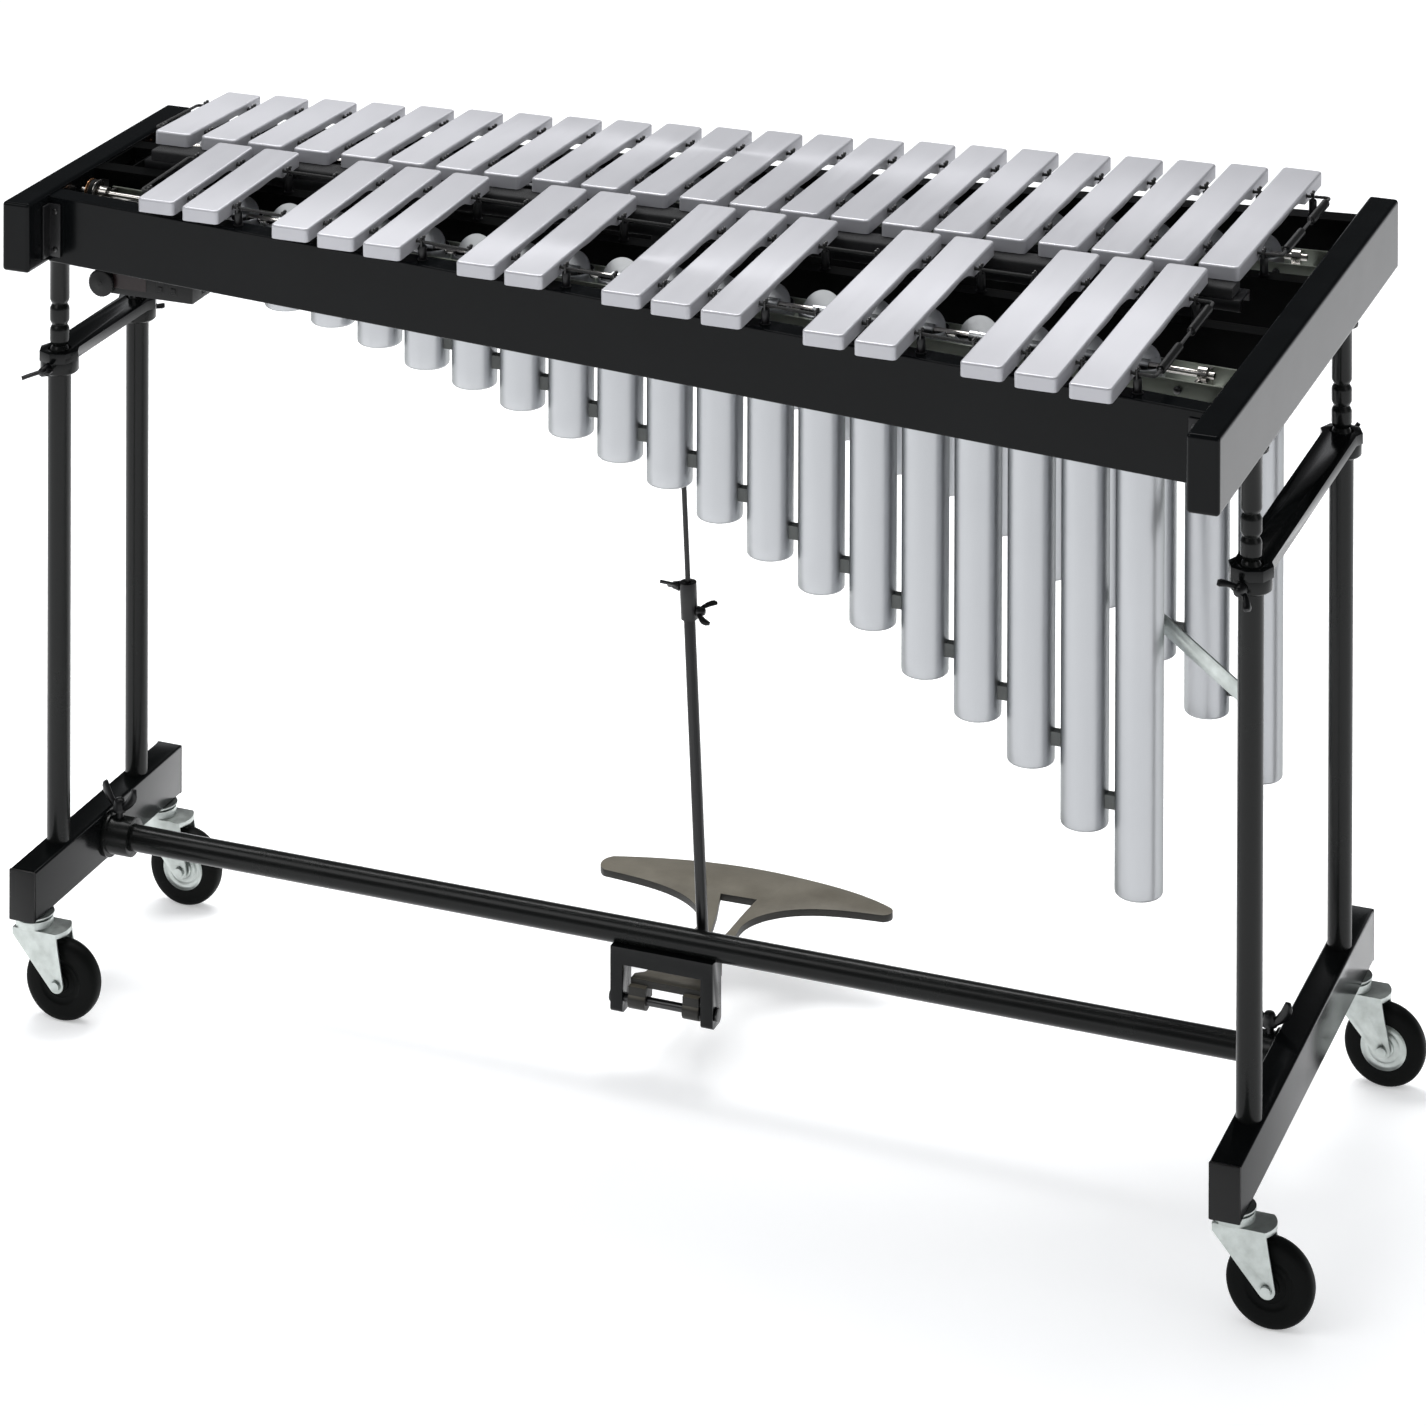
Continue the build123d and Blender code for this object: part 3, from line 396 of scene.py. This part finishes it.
def finish_piece(name, mesh, materials, stands_for, body, sharp):
    """Gives a mesh its materials and rides it on the body of the nodes it stands for."""
    for material in materials:
        mesh.materials.append(material)
    mesh.shade_smooth()
    mesh.set_sharp_from_angle(angle=math.radians(sharp))
    obj = bpy.data.objects.new(name, mesh)
    bpy.context.scene.collection.objects.link(obj)
    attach(obj, body or BODY_OF[stands_for[0]])
    if stands_for:
        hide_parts(*stands_for)
    return obj


def soften(node, material, width):
    """The node's own shape with its corners rounded by a width in millimetres."""
    bm = bmesh.new()
    bm.from_mesh(NODES[node].data)
    bmesh.ops.remove_doubles(bm, verts=bm.verts, dist=0.002 * MM)
    bmesh.ops.dissolve_limit(bm, angle_limit=math.radians(0.4), verts=bm.verts, edges=bm.edges)
    least = math.radians(30.0)
    corners = [e for e in bm.edges if len(e.link_faces) == 2 and e.calc_face_angle(0) > least]
    bmesh.ops.bevel(bm, geom=corners, offset=width * MM, offset_type="OFFSET", segments=2,
                    profile=0.5, affect="EDGES", clamp_overlap=True)
    mesh = bpy.data.meshes.new(node + "_soft")
    bm.to_mesh(mesh)
    bm.free()
    if "custom_normal" in mesh.attributes:
        mesh.attributes.remove(mesh.attributes["custom_normal"])
    return finish_piece(node + "_soft", mesh, [material], [node], None, 32.0)


HERE = Matrix.Identity(4)

# ---------- parts that keep their shape, with rounded corners
SOFT = {
    "feet": ("frame", 0.8),
    "foot_caps": ("plastic", 1.2),
    "leg_braces": ("frame", 1.0),
    "leg_collars": ("gloss", 0.8),
    "stretcher_sockets": ("gloss", 1.0),
    "pedal_bracket": ("frame", 1.2),
    "pedal_pin": ("dark_steel", 0.8),
    "frame_brackets": ("black_steel", 0.5),
    "stay_bar": ("zinc", 0.4),
    "lower_rod": ("black_steel", 0.6),
    "damper_bar": ("black_steel", 0.5),
    "motor_box": ("plastic", 0.8),
    "pedal": ("pedal", 1.6),
}
CASTERS = (1, 2, 3, 4)
for number in CASTERS:
    SOFT[f"caster_{number}_fork"] = ("zinc", 0.6)
for node, (paint, width) in SOFT.items():
    soften(node, M[paint], width)

# ---------- resonators
SHAFT_HOLE = 4.0
TUBE_WALL = 1.5
TUBE_FLOOR = 3.0
LIP = 0.35
FAN_Z = JOINT["front_fan_spin"]["pos_m"][2] / MM


def resonator(radius, top, bottom, slope):
    """(outside, inside) of a closed-bottomed tube whose mouth is notched for the fan shaft."""
    bore = radius - TUBE_WALL
    outer = [(0.0, bottom), (radius - 3, bottom), (radius - 1.2, bottom + 0.3),
             (radius - 0.3, bottom + 1.2), (radius, bottom + 2.6), (radius, bottom + 14),
             (radius, top - 12), (radius, top - 1.2), (radius - LIP, top - 0.3),
             (radius - TUBE_WALL / 2, top)]
    inner = [(radius - TUBE_WALL / 2, top), (bore + LIP, top - 0.3), (bore, top - 1.2),
             (bore, top - 12), (bore, bottom + TUBE_FLOOR + 1), (0.0, bottom + TUBE_FLOOR)]
    made = []
    for profile in (outer, inner):
        points, faces = lathe(profile, 96)
        cut = []
        for x, y, z in points:
            across = abs(y - slope * x) / MM
            if across < SHAFT_HOLE and abs(x) > 5 * MM:
                z = min(z, (FAN_Z - math.sqrt(SHAFT_HOLE ** 2 - across ** 2)) * MM)
            cut.append((x, y, z))
        made.append((cut, faces))
    return made


TUBES = {}
for bank in ("front", "back"):
    axis = JOINT[f"{bank}_fan_spin"]["axis"]
    parts = []
    TUBES[bank] = []
    for solid in islands(f"{bank}_resonators"):
        low, high = extent(solid)
        radius = (high.x - low.x) / 2 / MM
        outside, inside = resonator(radius, high.z / MM, low.z / MM, axis[1] / axis[0])
        place = Matrix.Translation(((low.x + high.x) / 2, (low.y + high.y) / 2, 0))
        TUBES[bank].append(place.translation.copy())
        parts += [(outside, place, 0), (inside, place, 1)]
    piece(f"{bank}_tubes", parts, [M["tube"], M["tube_inside"]], [f"{bank}_resonators"])

# ---------- turned posts of the table
POST_RADIUS = 9.4
FLANGE_RADIUS = 15.0
WAIST_REACH = 5.2


def post_profile(solid, low, high):
    """Radius against height, with every neck of the CAD post drawn as a smooth waist."""
    cx, cy = (low.x + high.x) / 2, (low.y + high.y) / 2
    radius = {}
    for x, y, z in solid:
        z = round(z / MM, 1)
        radius[z] = max(radius.get(z, 0.0), math.hypot(x - cx, y - cy) / MM)
    waist = min(r for r in radius.values() if r > POST_RADIUS / 2)
    marks = sorted(z for z, r in radius.items() if abs(r - waist) < 0.05)
    necks = [(a + b) / 2 for a, b in zip(marks[::2], marks[1::2])]
    foot, flange = low.z / MM, high.z / MM
    out = [(0, foot), (POST_RADIUS - 1.2, foot), (POST_RADIUS, foot + 1.5)]
    for neck in necks:
        for k in range(-8, 9):
            t = abs(k) / 8
            ease = t * t * (3 - 2 * t)
            out.append((waist + (POST_RADIUS - waist) * ease ** 0.6, neck + WAIST_REACH * k / 8))
    out += [(POST_RADIUS, flange - 4.5), (POST_RADIUS + 0.6, flange - 3.4)]
    out += [(FLANGE_RADIUS - 0.6, flange - 3), (FLANGE_RADIUS, flange - 2.4)]
    out += [(FLANGE_RADIUS, flange), (0, flange)]
    return out


parts = []
for solid in islands("upper_legs"):
    low, high = extent(solid)
    place = Matrix.Translation(((low.x + high.x) / 2, (low.y + high.y) / 2, 0))
    parts.append((lathe(post_profile(solid, low, high), 48), place, 0))
piece("turned_posts", parts, [M["gloss"]], ["upper_legs"])

# ---------- cord posts, cords and springs
BALL = 1.7
BALL_RISE = 3.6
PRONG_OFFSET = 2.7
CORD_RADIUS = 1.5
CORD_TWIST = 7.0
CORD_LEAD = 9.0
CORD_TAIL = 16.0
SPRING_LENGTH = 60.0
CORD_STEP = 1.0 * MM
CORNER_RADIUS = 4 * MM


def cord_post(height):
    """(part, offset) entries: a sleeve on a washer, and two ball-topped prongs."""
    sleeve = lathe([(0, 0), (4.6, 0), (4.7, 0.5), (4.6, 1.0), (3.6, 1.2), (3.8, 2.0),
                    (3.8, height - 4.2), (3.5, height - 3.2), (2.6, height - 2.4),
                    (0, height - 2.2)], 24)
    ball = height + BALL_RISE
    prong = [(0, height - 4), (1.0, height - 4), (1.0, height + 2.0)]
    angles = [math.radians(d) for d in range(38, 181, 18)]
    prong += [(BALL * math.sin(a), ball - BALL * math.cos(a)) for a in angles]
    prong.append((0, ball + BALL))
    stem = lathe(prong, 16)
    return [(sleeve, 0.0, 0), (stem, -PRONG_OFFSET * MM, 1), (stem, PRONG_OFFSET * MM, 1)]


parts = []
heads = []
for solid in islands("cord_posts"):
    low, high = extent(solid)
    height = (high.z - low.z) / MM - BALL_RISE - BALL
    centre = Vector(((low.x + high.x) / 2, (low.y + high.y) / 2, low.z))
    heads.append(centre + Vector((0, 0, height * MM)))
    for part, shift, slot in cord_post(height):
        parts.append((part, Matrix.Translation(centre + Vector((0, shift, 0))), slot))
piece("cord_pegs", parts, [M["black_steel"], M["dark_steel"]], ["cord_posts"])


def strand(k):
    """Two twisted lobes that turn once in a few steps."""
    twist = 2 * math.pi * k / CORD_TWIST
    ring = []
    for s in range(10):
        a = 2 * math.pi * s / 10
        r = CORD_RADIUS * MM * (1 - 0.16 * (1 - abs(math.cos(a - twist))))
        ring.append((r * math.cos(a), r * math.sin(a)))
    return ring


def coil(start, end, radius, wire, pitch):
    """A close-wound helix whose end turns narrow."""
    axis = end - start
    turns = axis.length / pitch
    side = axis.cross(Vector((0, 0, 1))).normalized()
    up = side.cross(axis.normalized())
    steps = int(turns * 14)
    path = []
    for k in range(steps + 1):
        a = 2 * math.pi * turns * k / steps
        taper = min(1.0, k / 14, (steps - k) / 14)
        r = radius * (0.35 + 0.65 * taper)
        path.append(start + axis * (k / steps) + side * (r * math.cos(a)) + up * (r * math.sin(a)))
    return along(path, round_section(wire, 6))


KNOT = [(0, -2.4), (1.9, -2.0), (2.4, -0.8), (2.4, 0.8), (1.9, 2.0), (0, 2.4)]
spring_parts = []
cord_parts = []
for row in (1, -1):
    near = [h for h in heads if h.y * row > 0]
    middle = sum(h.y * row for h in near) / len(near)
    runs = {}
    for name, is_outer in (("outer", True), ("inner", False)):
        line = [h for h in near if (h.y * row > middle) == is_outer]
        line.sort(key=lambda h: h.x)
        runs[name] = (line[0], line[-1])
    corner = {}
    for name, (treble, bass) in runs.items():
        way = (bass - treble).normalized()
        corner[name] = (treble - way * CORD_LEAD * MM, bass + way * CORD_TAIL * MM)
    across = (corner["inner"][1] - corner["outer"][1]).normalized()
    tail = across * CORD_TAIL * MM
    tips = (corner["outer"][1] + tail, corner["inner"][1] - tail)
    loop = [tips[0], corner["outer"][1], corner["outer"][0]]
    loop += [corner["inner"][0], corner["inner"][1], tips[1]]
    reach = across * SPRING_LENGTH * MM
    inside = [tips[0] + reach, tips[1] - reach]
    for corners in (loop, inside):
        cord_parts.append((along(rounded_path(corners, CORNER_RADIUS, CORD_STEP), strand), HERE, 0))
    for tip, far in zip(tips, inside):
        spring_parts.append((coil(tip, far, 3.5 * MM, 0.6 * MM, 1.4 * MM), HERE, 0))
        for end in (tip, far):
            spring_parts.append((lathe(KNOT, 16), aim(end, across), 1))
piece("bar_cord_loops", cord_parts, [M["cord"]], ["bar_cords"], sharp=60)
piece("cord_coils", spring_parts, [M["dark_steel"], M["black_steel"]], ["cord_springs"])

# ---------- damper felt
FELT_STEP = 2.5 * MM
FELT_SHOULDER = 2.2 * MM
FIBRE_PULL = 0.28 * MM
low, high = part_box("damper_felt")
count = int((high.x - low.x) / FELT_STEP)
half = (high.y - low.y) / 2
thick = high.z - low.z
middle = (low.y + high.y) / 2


def felt_ring(k):
    """A round-shouldered section whose skin is pulled about by fibres."""
    x = low.x + k * FELT_STEP
    r = FELT_SHOULDER
    quarter = (0.0, 0.5, 1.05, 1.57)
    ring = [(-half, 0.0)]
    ring += [(-half + r - r * math.cos(a), thick - r + r * math.sin(a)) for a in quarter]
    ring += [(-half + r + (2 * half - 2 * r) * t / 8, thick) for t in range(1, 8)]
    ring += [(half - r + r * math.sin(a), thick - r + r * math.cos(a)) for a in quarter]
    ring.append((half, 0.0))
    out = []
    for n, (u, v) in enumerate(ring):
        pull = field.noise(Vector((x * 300, u * 900, v * 900 + n))) * FIBRE_PULL
        sunk = max(0.0, v - abs(pull) - 0.05 * MM) if v > 0 else 0.0
        out.append((-u * 0.996 + pull * 0.3, sunk))
    return out


path = [Vector((low.x + k * FELT_STEP, middle, low.z)) for k in range(count + 1)]
piece("felt_strip", [(along(path, felt_ring), HERE, 0)], [M["felt"]], ["damper_felt"], sharp=70)

# ---------- casters
PALE_WHEELS = (2, 4)
for number in CASTERS:
    roll = JOINT[f"wheel_{number}_roll"]
    radius = roll["pos_m"][2] / MM
    half_tyre = [(21.5, 8.6), (23, 8.9), (30, 8.7), (radius - 3.4, 8.2), (radius - 1.4, 6.7),
                 (radius - 0.35, 4.2), (radius, 1.6)]
    tyre = half_tyre + [(r, -z) for r, z in reversed(half_tyre)]
    disc = [(4.1, 10.9), (8.4, 10.9), (9.2, 10.2), (9.6, 7.6), (11, 6.9), (14, 7.1), (15, 7.5),
            (16, 7.1), (19.6, 7.3), (20.8, 8.3), (21.5, 8.6)]
    disc_paint = 1 if number in PALE_WHEELS else 0
    place = aim(roll["pos_m"], roll["axis"])
    parts = [(lathe(tyre, 64), place, 0), (lathe(disc, 64), place, disc_paint)]
    parts.append((lathe([(r, -z) for r, z in disc], 64), place, disc_paint))
    piece(f"caster_{number}_tyre_and_hub", parts, [M["rubber"], M["zinc"]],
          [f"caster_{number}_wheel"])

RACE = [(0, 97), (19, 97), (19.3, 96.4), (19.2, 95.4), (18.4, 94.5), (16.5, 94.1), (4, 94.1),
        (4, 83), (0, 83)]
NUT = [(4, 82.8), (6.2, 82.8), (6.9, 82.2), (6.9, 80.4), (6.2, 79.8), (0, 79.8)]
parts = []
for number in CASTERS:
    x, y, _ = JOINT[f"caster_{number}_swivel"]["pos_m"]
    place = Matrix.Translation((x, y, 0))
    parts.append((lathe(RACE, 48), place, 0))
    parts.append((lathe(NUT, 6), place, 0))
piece("caster_races", parts, [M["zinc"]], ["caster_plates"])


# ---------- wing bolts
EAR_SPINE = [(3.0, 2.6, 2.2), (6.5, 5.6, 2.7), (9.6, 9.0, 3.2), (11.8, 12.4, 3.6),
             (13.0, 15.4, 3.2), (13.2, 16.6, 1.4)]
EAR_SIDES = 12
EAR_THICKNESS = 3.4
EAR_LEAN = math.sqrt(0.5)
COLLAR_WING, ROD_WING, SOCKET_WING = 1.2, 0.95, 1.5
SOCKET_WING_TURN = math.radians(75)
SOCKET_SHANK = 10.0


def wing_part(size):
    """(shank and hub, two ears) of a wing bolt along +Z, ears spread along Y, in metres."""
    hub = lathe([(0, -4.5), (2.5, -4.5), (2.5, 0.2), (4.6, 0.4), (4.9, 1.2), (4.6, 2.2), (3.9, 5),
                 (3.5, 7.2), (2.6, 8.4), (0, 8.8)], 24)
    ears = []
    for hand in (1, -1):
        points, faces = [], []
        for y, z, width in EAR_SPINE:
            for s in range(EAR_SIDES):
                a = 2 * math.pi * s / EAR_SIDES
                u = width * math.cos(a)
                v = EAR_THICKNESS / 2 * math.sin(a) * (0.55 + 0.45 * abs(math.sin(a)))
                points.append((v * MM, hand * (y + u * EAR_LEAN) * MM, (z - u * EAR_LEAN) * MM))
        last = (len(EAR_SPINE) - 1) * EAR_SIDES
        for ring in range(0, last, EAR_SIDES):
            for s in range(EAR_SIDES):
                n = (s + 1) % EAR_SIDES
                faces.append((ring + s, ring + n, ring + EAR_SIDES + n, ring + EAR_SIDES + s))
        faces.append(tuple(range(EAR_SIDES)))
        faces.append(tuple(last + s for s in range(EAR_SIDES)))
        ears.append((points, faces))
    grow = Matrix.Scale(size, 4)
    return [transformed(part, grow) for part in (hub, *ears)]


def ear_spin(node, place, axis):
    """The turn about the axis that lines local Y up with the spread of the CAD bolt's ears."""
    flat = aim(place, axis).inverted()
    local = np.array([flat @ v.co for v in NODES[node].data.vertices])
    far = local[np.hypot(local[:, 0], local[:, 1]).argmax()]
    return math.atan2(far[1], far[0]) - math.pi / 2


WINGS = [("collar", number, COLLAR_WING) for number in (1, 2, 3, 4)]
WINGS += [("rod", number, ROD_WING) for number in (1, 2)]
for family, number, size in WINGS:
    node = f"{family}_wing_bolt_{number}"
    turn = JOINT[f"{family}_bolt_{number}_turn"]
    place, axis = turn["pos_m"], turn["axis"]
    matrix = aim(place, axis, ear_spin(node, place, axis))
    parts = [(part, matrix, 0) for part in wing_part(size)]
    piece(node + "_head", parts, [M["black_steel"]], [node], sharp=50)
parts = []
for solid in islands("socket_wing_bolts"):
    low, high = extent(solid)
    base = Vector(((low.x + high.x) / 2, (low.y + high.y) / 2, low.z + SOCKET_SHANK * MM))
    matrix = Matrix.Translation(base) @ Matrix.Rotation(SOCKET_WING_TURN, 4, "Z")
    parts += [(part, matrix, 0) for part in wing_part(SOCKET_WING)]
piece("socket_wing_heads", parts, [M["black_steel"]], ["socket_wing_bolts"], sharp=50)

# ---------- screws, pulleys and speed knob
def screw(solid):
    """(place, height, radius) of a screw head, its axis pointing away from the nearest tube."""
    centre = Vector(solid.mean(0))
    spread = solid - solid.mean(0)
    axis = Vector(np.linalg.svd(spread, full_matrices=False)[2][2])
    nearest = min(TUBES["front"] + TUBES["back"], key=lambda t: (t.xy - centre.xy).length)
    if axis.dot(Vector((centre.x - nearest.x, centre.y - nearest.y, 0))) < 0:
        axis = -axis
    reach = spread @ np.array(axis)
    tall = (reach.max() - reach.min()) / MM
    wide = np.linalg.norm(spread - np.outer(reach, axis), axis=1).max() / MM
    return aim(centre, axis), tall, wide


def recess_shade_strip(tall, wide, turn):
    """One dark strip of painted shade standing for a bar of a screw head's cross recess, laid on
    the dome; no recess is cut.
    """
    reach = wide * 0.62
    top = []
    for x, y in ((reach, 0.34), (-reach, 0.34), (-reach, -0.34), (reach, -0.34)):
        across = x * math.cos(turn) - y * math.sin(turn)
        along_y = x * math.sin(turn) + y * math.cos(turn)
        top.append((across * MM, along_y * MM, (tall / 2 - 0.43) * MM))
    return top, [(0, 1, 2, 3)]


parts = []
for solid in islands("frame_screws"):
    place, tall, wide = screw(solid)
    dome = [(0, -tall / 2), (wide, -tall / 2), (wide, -tall / 2 + 0.5), (wide * 0.93, tall * 0.1),
            (wide * 0.7, tall * 0.36), (wide * 0.4, tall * 0.47), (0, tall / 2)]
    parts.append((lathe(dome, 24), place, 0))
    # Painted shade: two dark strips across each head stand for the shade in its cross recess.
    parts += [(recess_shade_strip(tall, wide, turn), place, 1) for turn in (0.0, math.pi / 2)]
piece("screw_heads", parts, [M["dark_steel"], M["black_steel"]], ["frame_screws"])

for bank in ("front", "back"):
    joint = JOINT[f"{bank}_fan_spin"]
    low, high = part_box(f"{bank}_pulley")
    r = (high.z - low.z) / 2 / MM
    flange = [(3.02, -4.7), (r - 0.5, -4.7), (r, -4.3), (r, -3.9), (r - 0.6, -3.5), (r - 2.5, -3.5)]
    groove = [(r - 2.5, -3.5), (r - 2.5, 3.5)]
    place = aim((low + high) / 2, joint["axis"])
    parts = [(lathe(flange, 48), place, 1), (lathe(groove, 48), place, 0)]
    parts.append((lathe([(a, -z) for a, z in flange], 48), place, 0))
    piece(f"{bank}_pulley_wheel", parts, [M["steel"], M["copper"]], [f"{bank}_pulley"])

turn = JOINT["speed_turn"]
low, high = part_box("speed_knob")
r = (high.x - low.x) / 2 / MM
knob = [(0, 0.6), (2.2, 0.6), (2.4, 0.2), (3.4, 0.2), (3.8, 0), (r - 2.0, 0), (r - 0.8, -0.35),
        (r - 0.05, -1.2), (r, -1.9), (r, -4.4), (r - 0.5, -5.0), (2.5, -5.0), (2.5, -20), (0, -20)]
place = aim((turn["pos_m"][0], low.y, turn["pos_m"][2]), (0, -1, 0))
piece("ribbed_knob", [(lathe(knob, 120, ripple=(30, 0.35)), place, 0)], [M["plastic"]],
      ["speed_knob"])


def slab(x0, x1, y0, y1, z0, z1, ease):
    """A block in millimetres with its outward (-Y) edges eased."""
    points = []
    for y, e in ((y1, 0.0), (y0 + ease, 0.0), (y0, ease)):
        ring = ((x0 + e, z0 + e), (x1 - e, z0 + e), (x1 - e, z1 - e), (x0 + e, z1 - e))
        points += [(x * MM, y * MM, z * MM) for x, z in ring]
    faces = [(0, 1, 2, 3), (8, 9, 10, 11)]
    for base in (0, 4):
        for k in range(4):
            n = (k + 1) % 4
            faces.append((base + k, base + n, base + 4 + n, base + 4 + k))
    return points, faces


# A red-brown panel and two rocker switches on the motor box's face.
low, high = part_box("motor_box")
face = low.y / MM
end = high.x / MM
SUNK = 0.3
details = [(slab(end - 84, end - 49, face - 0.5, face + SUNK, 699.5, 713, 0.3), HERE, 1)]
for x in (end - 38, end - 24):
    details.append((slab(x, x + 8, face - 0.3, face + SUNK, 700, 712, 0.2), HERE, 0))
    details.append((slab(x + 1.8, x + 6.2, face - 1.1, face + SUNK, 702, 706.5, 0.4), HERE, 0))
piece("control_panel", details, [M["plastic"], M["panel"]], [], body="table")

# ---------- floor, light and camera
FLOOR_REACH = 30
sheet = bpy.data.meshes.new("floor")
corners = [(x * FLOOR_REACH, y * FLOOR_REACH, 0) for x, y in ((-1, -1), (1, -1), (1, 1), (-1, 1))]
sheet.from_pydata(corners, [], [(0, 1, 2, 3)])
floor = bpy.data.objects.new("floor", sheet)
bpy.context.scene.collection.objects.link(floor)
mat, make, link, bsdf = tree("floor_white")
slow = noise(make, link, scaled_coords(make, link, (1, 1, 1)), 0.6, 2.0)
link(mix_colour(make, link, slow, (0.86, 0.86, 0.86), (0.9, 0.9, 0.9)), bsdf.inputs["Base Color"])
bsdf.inputs["Roughness"].default_value = 0.9
bsdf.inputs["Emission Color"].default_value = (1, 1, 1, 1)
bsdf.inputs["Emission Strength"].default_value = 0.32
floor.data.materials.append(mat)

world = bpy.data.worlds.new("studio")
bpy.context.scene.world = world
world.use_nodes = True
# A white room that mirrors dark above the horizon, as a studio with a black ceiling does.
sky = world.node_tree
background = sky.nodes["Background"]
background.inputs["Color"].default_value = (0.95, 0.97, 1.0, 1)
path_kind = sky.nodes.new("ShaderNodeLightPath")
direction = sky.nodes.new("ShaderNodeSeparateXYZ")
sky.links.new(sky.nodes.new("ShaderNodeTexCoord").outputs["Generated"], direction.inputs["Vector"])
height = sky.nodes.new("ShaderNodeMapRange")
for socket, value in (("From Min", 0.02), ("From Max", 0.16), ("To Min", 0.8), ("To Max", 0.10)):
    height.inputs[socket].default_value = value
sky.links.new(direction.outputs["Z"], height.inputs["Value"])
choice = sky.nodes.new("ShaderNodeMix")
choice.inputs[2].default_value = 0.72
sky.links.new(path_kind.outputs["Is Glossy Ray"], choice.inputs[0])
sky.links.new(height.outputs["Result"], choice.inputs[3])
sky.links.new(choice.outputs[0], background.inputs["Strength"])


def softbox(name, place, target, size, power):
    """A white rectangular lamp that faces a target."""
    data = bpy.data.lights.new(name, "AREA")
    data.shape = "RECTANGLE"
    data.size, data.size_y = size
    data.energy = power
    lamp = bpy.data.objects.new(name, data)
    lamp.location = place
    lamp.rotation_euler = (Vector(target) - Vector(place)).to_track_quat("-Z", "Y").to_euler()
    bpy.context.scene.collection.objects.link(lamp)


softbox("key", (-1.8, -2.2, 3.2), (0, 0, 0.5), (2.2, 1.6), 26)
softbox("top", (-0.7, 0.9, 3.2), (-0.1, 0, 0.8), (2.6, 1.4), 92)
softbox("side", (3.4, -0.8, 1.8), (0, 0, 0.5), (1.6, 2.0), 8)

# A shift-lens view: the optical axis is level and the frame lies well below it. The shift holds
# while the camera stands here, and goes when it is taken elsewhere.
CAM_AT = Vector((1.55645, -3.9969, 2.1825))
YAW, PITCH_DOWN, ROLL = 0.3692, 0.0066, 0.0031
SHIFT_X, SHIFT_Y = 0.0031, -1.3752
NEARBY = 0.0005
camera = bpy.data.objects.new("camera", bpy.data.cameras.new("camera"))
bpy.context.scene.collection.objects.link(camera)
level = Vector((math.cos(YAW), math.sin(YAW), 0))
ahead = Vector((-math.sin(YAW), math.cos(YAW), 0))
forward = ahead * math.cos(PITCH_DOWN) - Vector((0, 0, math.sin(PITCH_DOWN)))
up = level.cross(forward)
right = level * math.cos(ROLL) + up * math.sin(ROLL)
upright = up * math.cos(ROLL) - level * math.sin(ROLL)
turned = Matrix((right, upright, -forward)).transposed().to_4x4()
camera.matrix_world = Matrix.Translation(CAM_AT) @ turned
camera.data.sensor_width = 36
camera.data.lens = 117.0
camera.data.clip_end = 100
for channel, amount in (("shift_x", SHIFT_X), ("shift_y", SHIFT_Y)):
    driver = camera.data.driver_add(channel).driver
    driver.type = "SCRIPTED"
    where = driver.variables.new()
    where.name = "x"
    where.type = "TRANSFORMS"
    where.targets[0].id = camera
    where.targets[0].transform_type = "LOC_X"
    where.targets[0].transform_space = "WORLD_SPACE"
    driver.expression = f"{amount} * (x > {CAM_AT.x - NEARBY:.5f}) * (x < {CAM_AT.x + NEARBY:.5f})"
bpy.context.scene.camera = camera
bpy.context.scene.view_settings.view_transform = "Standard"

bpy.context.view_layer.update()
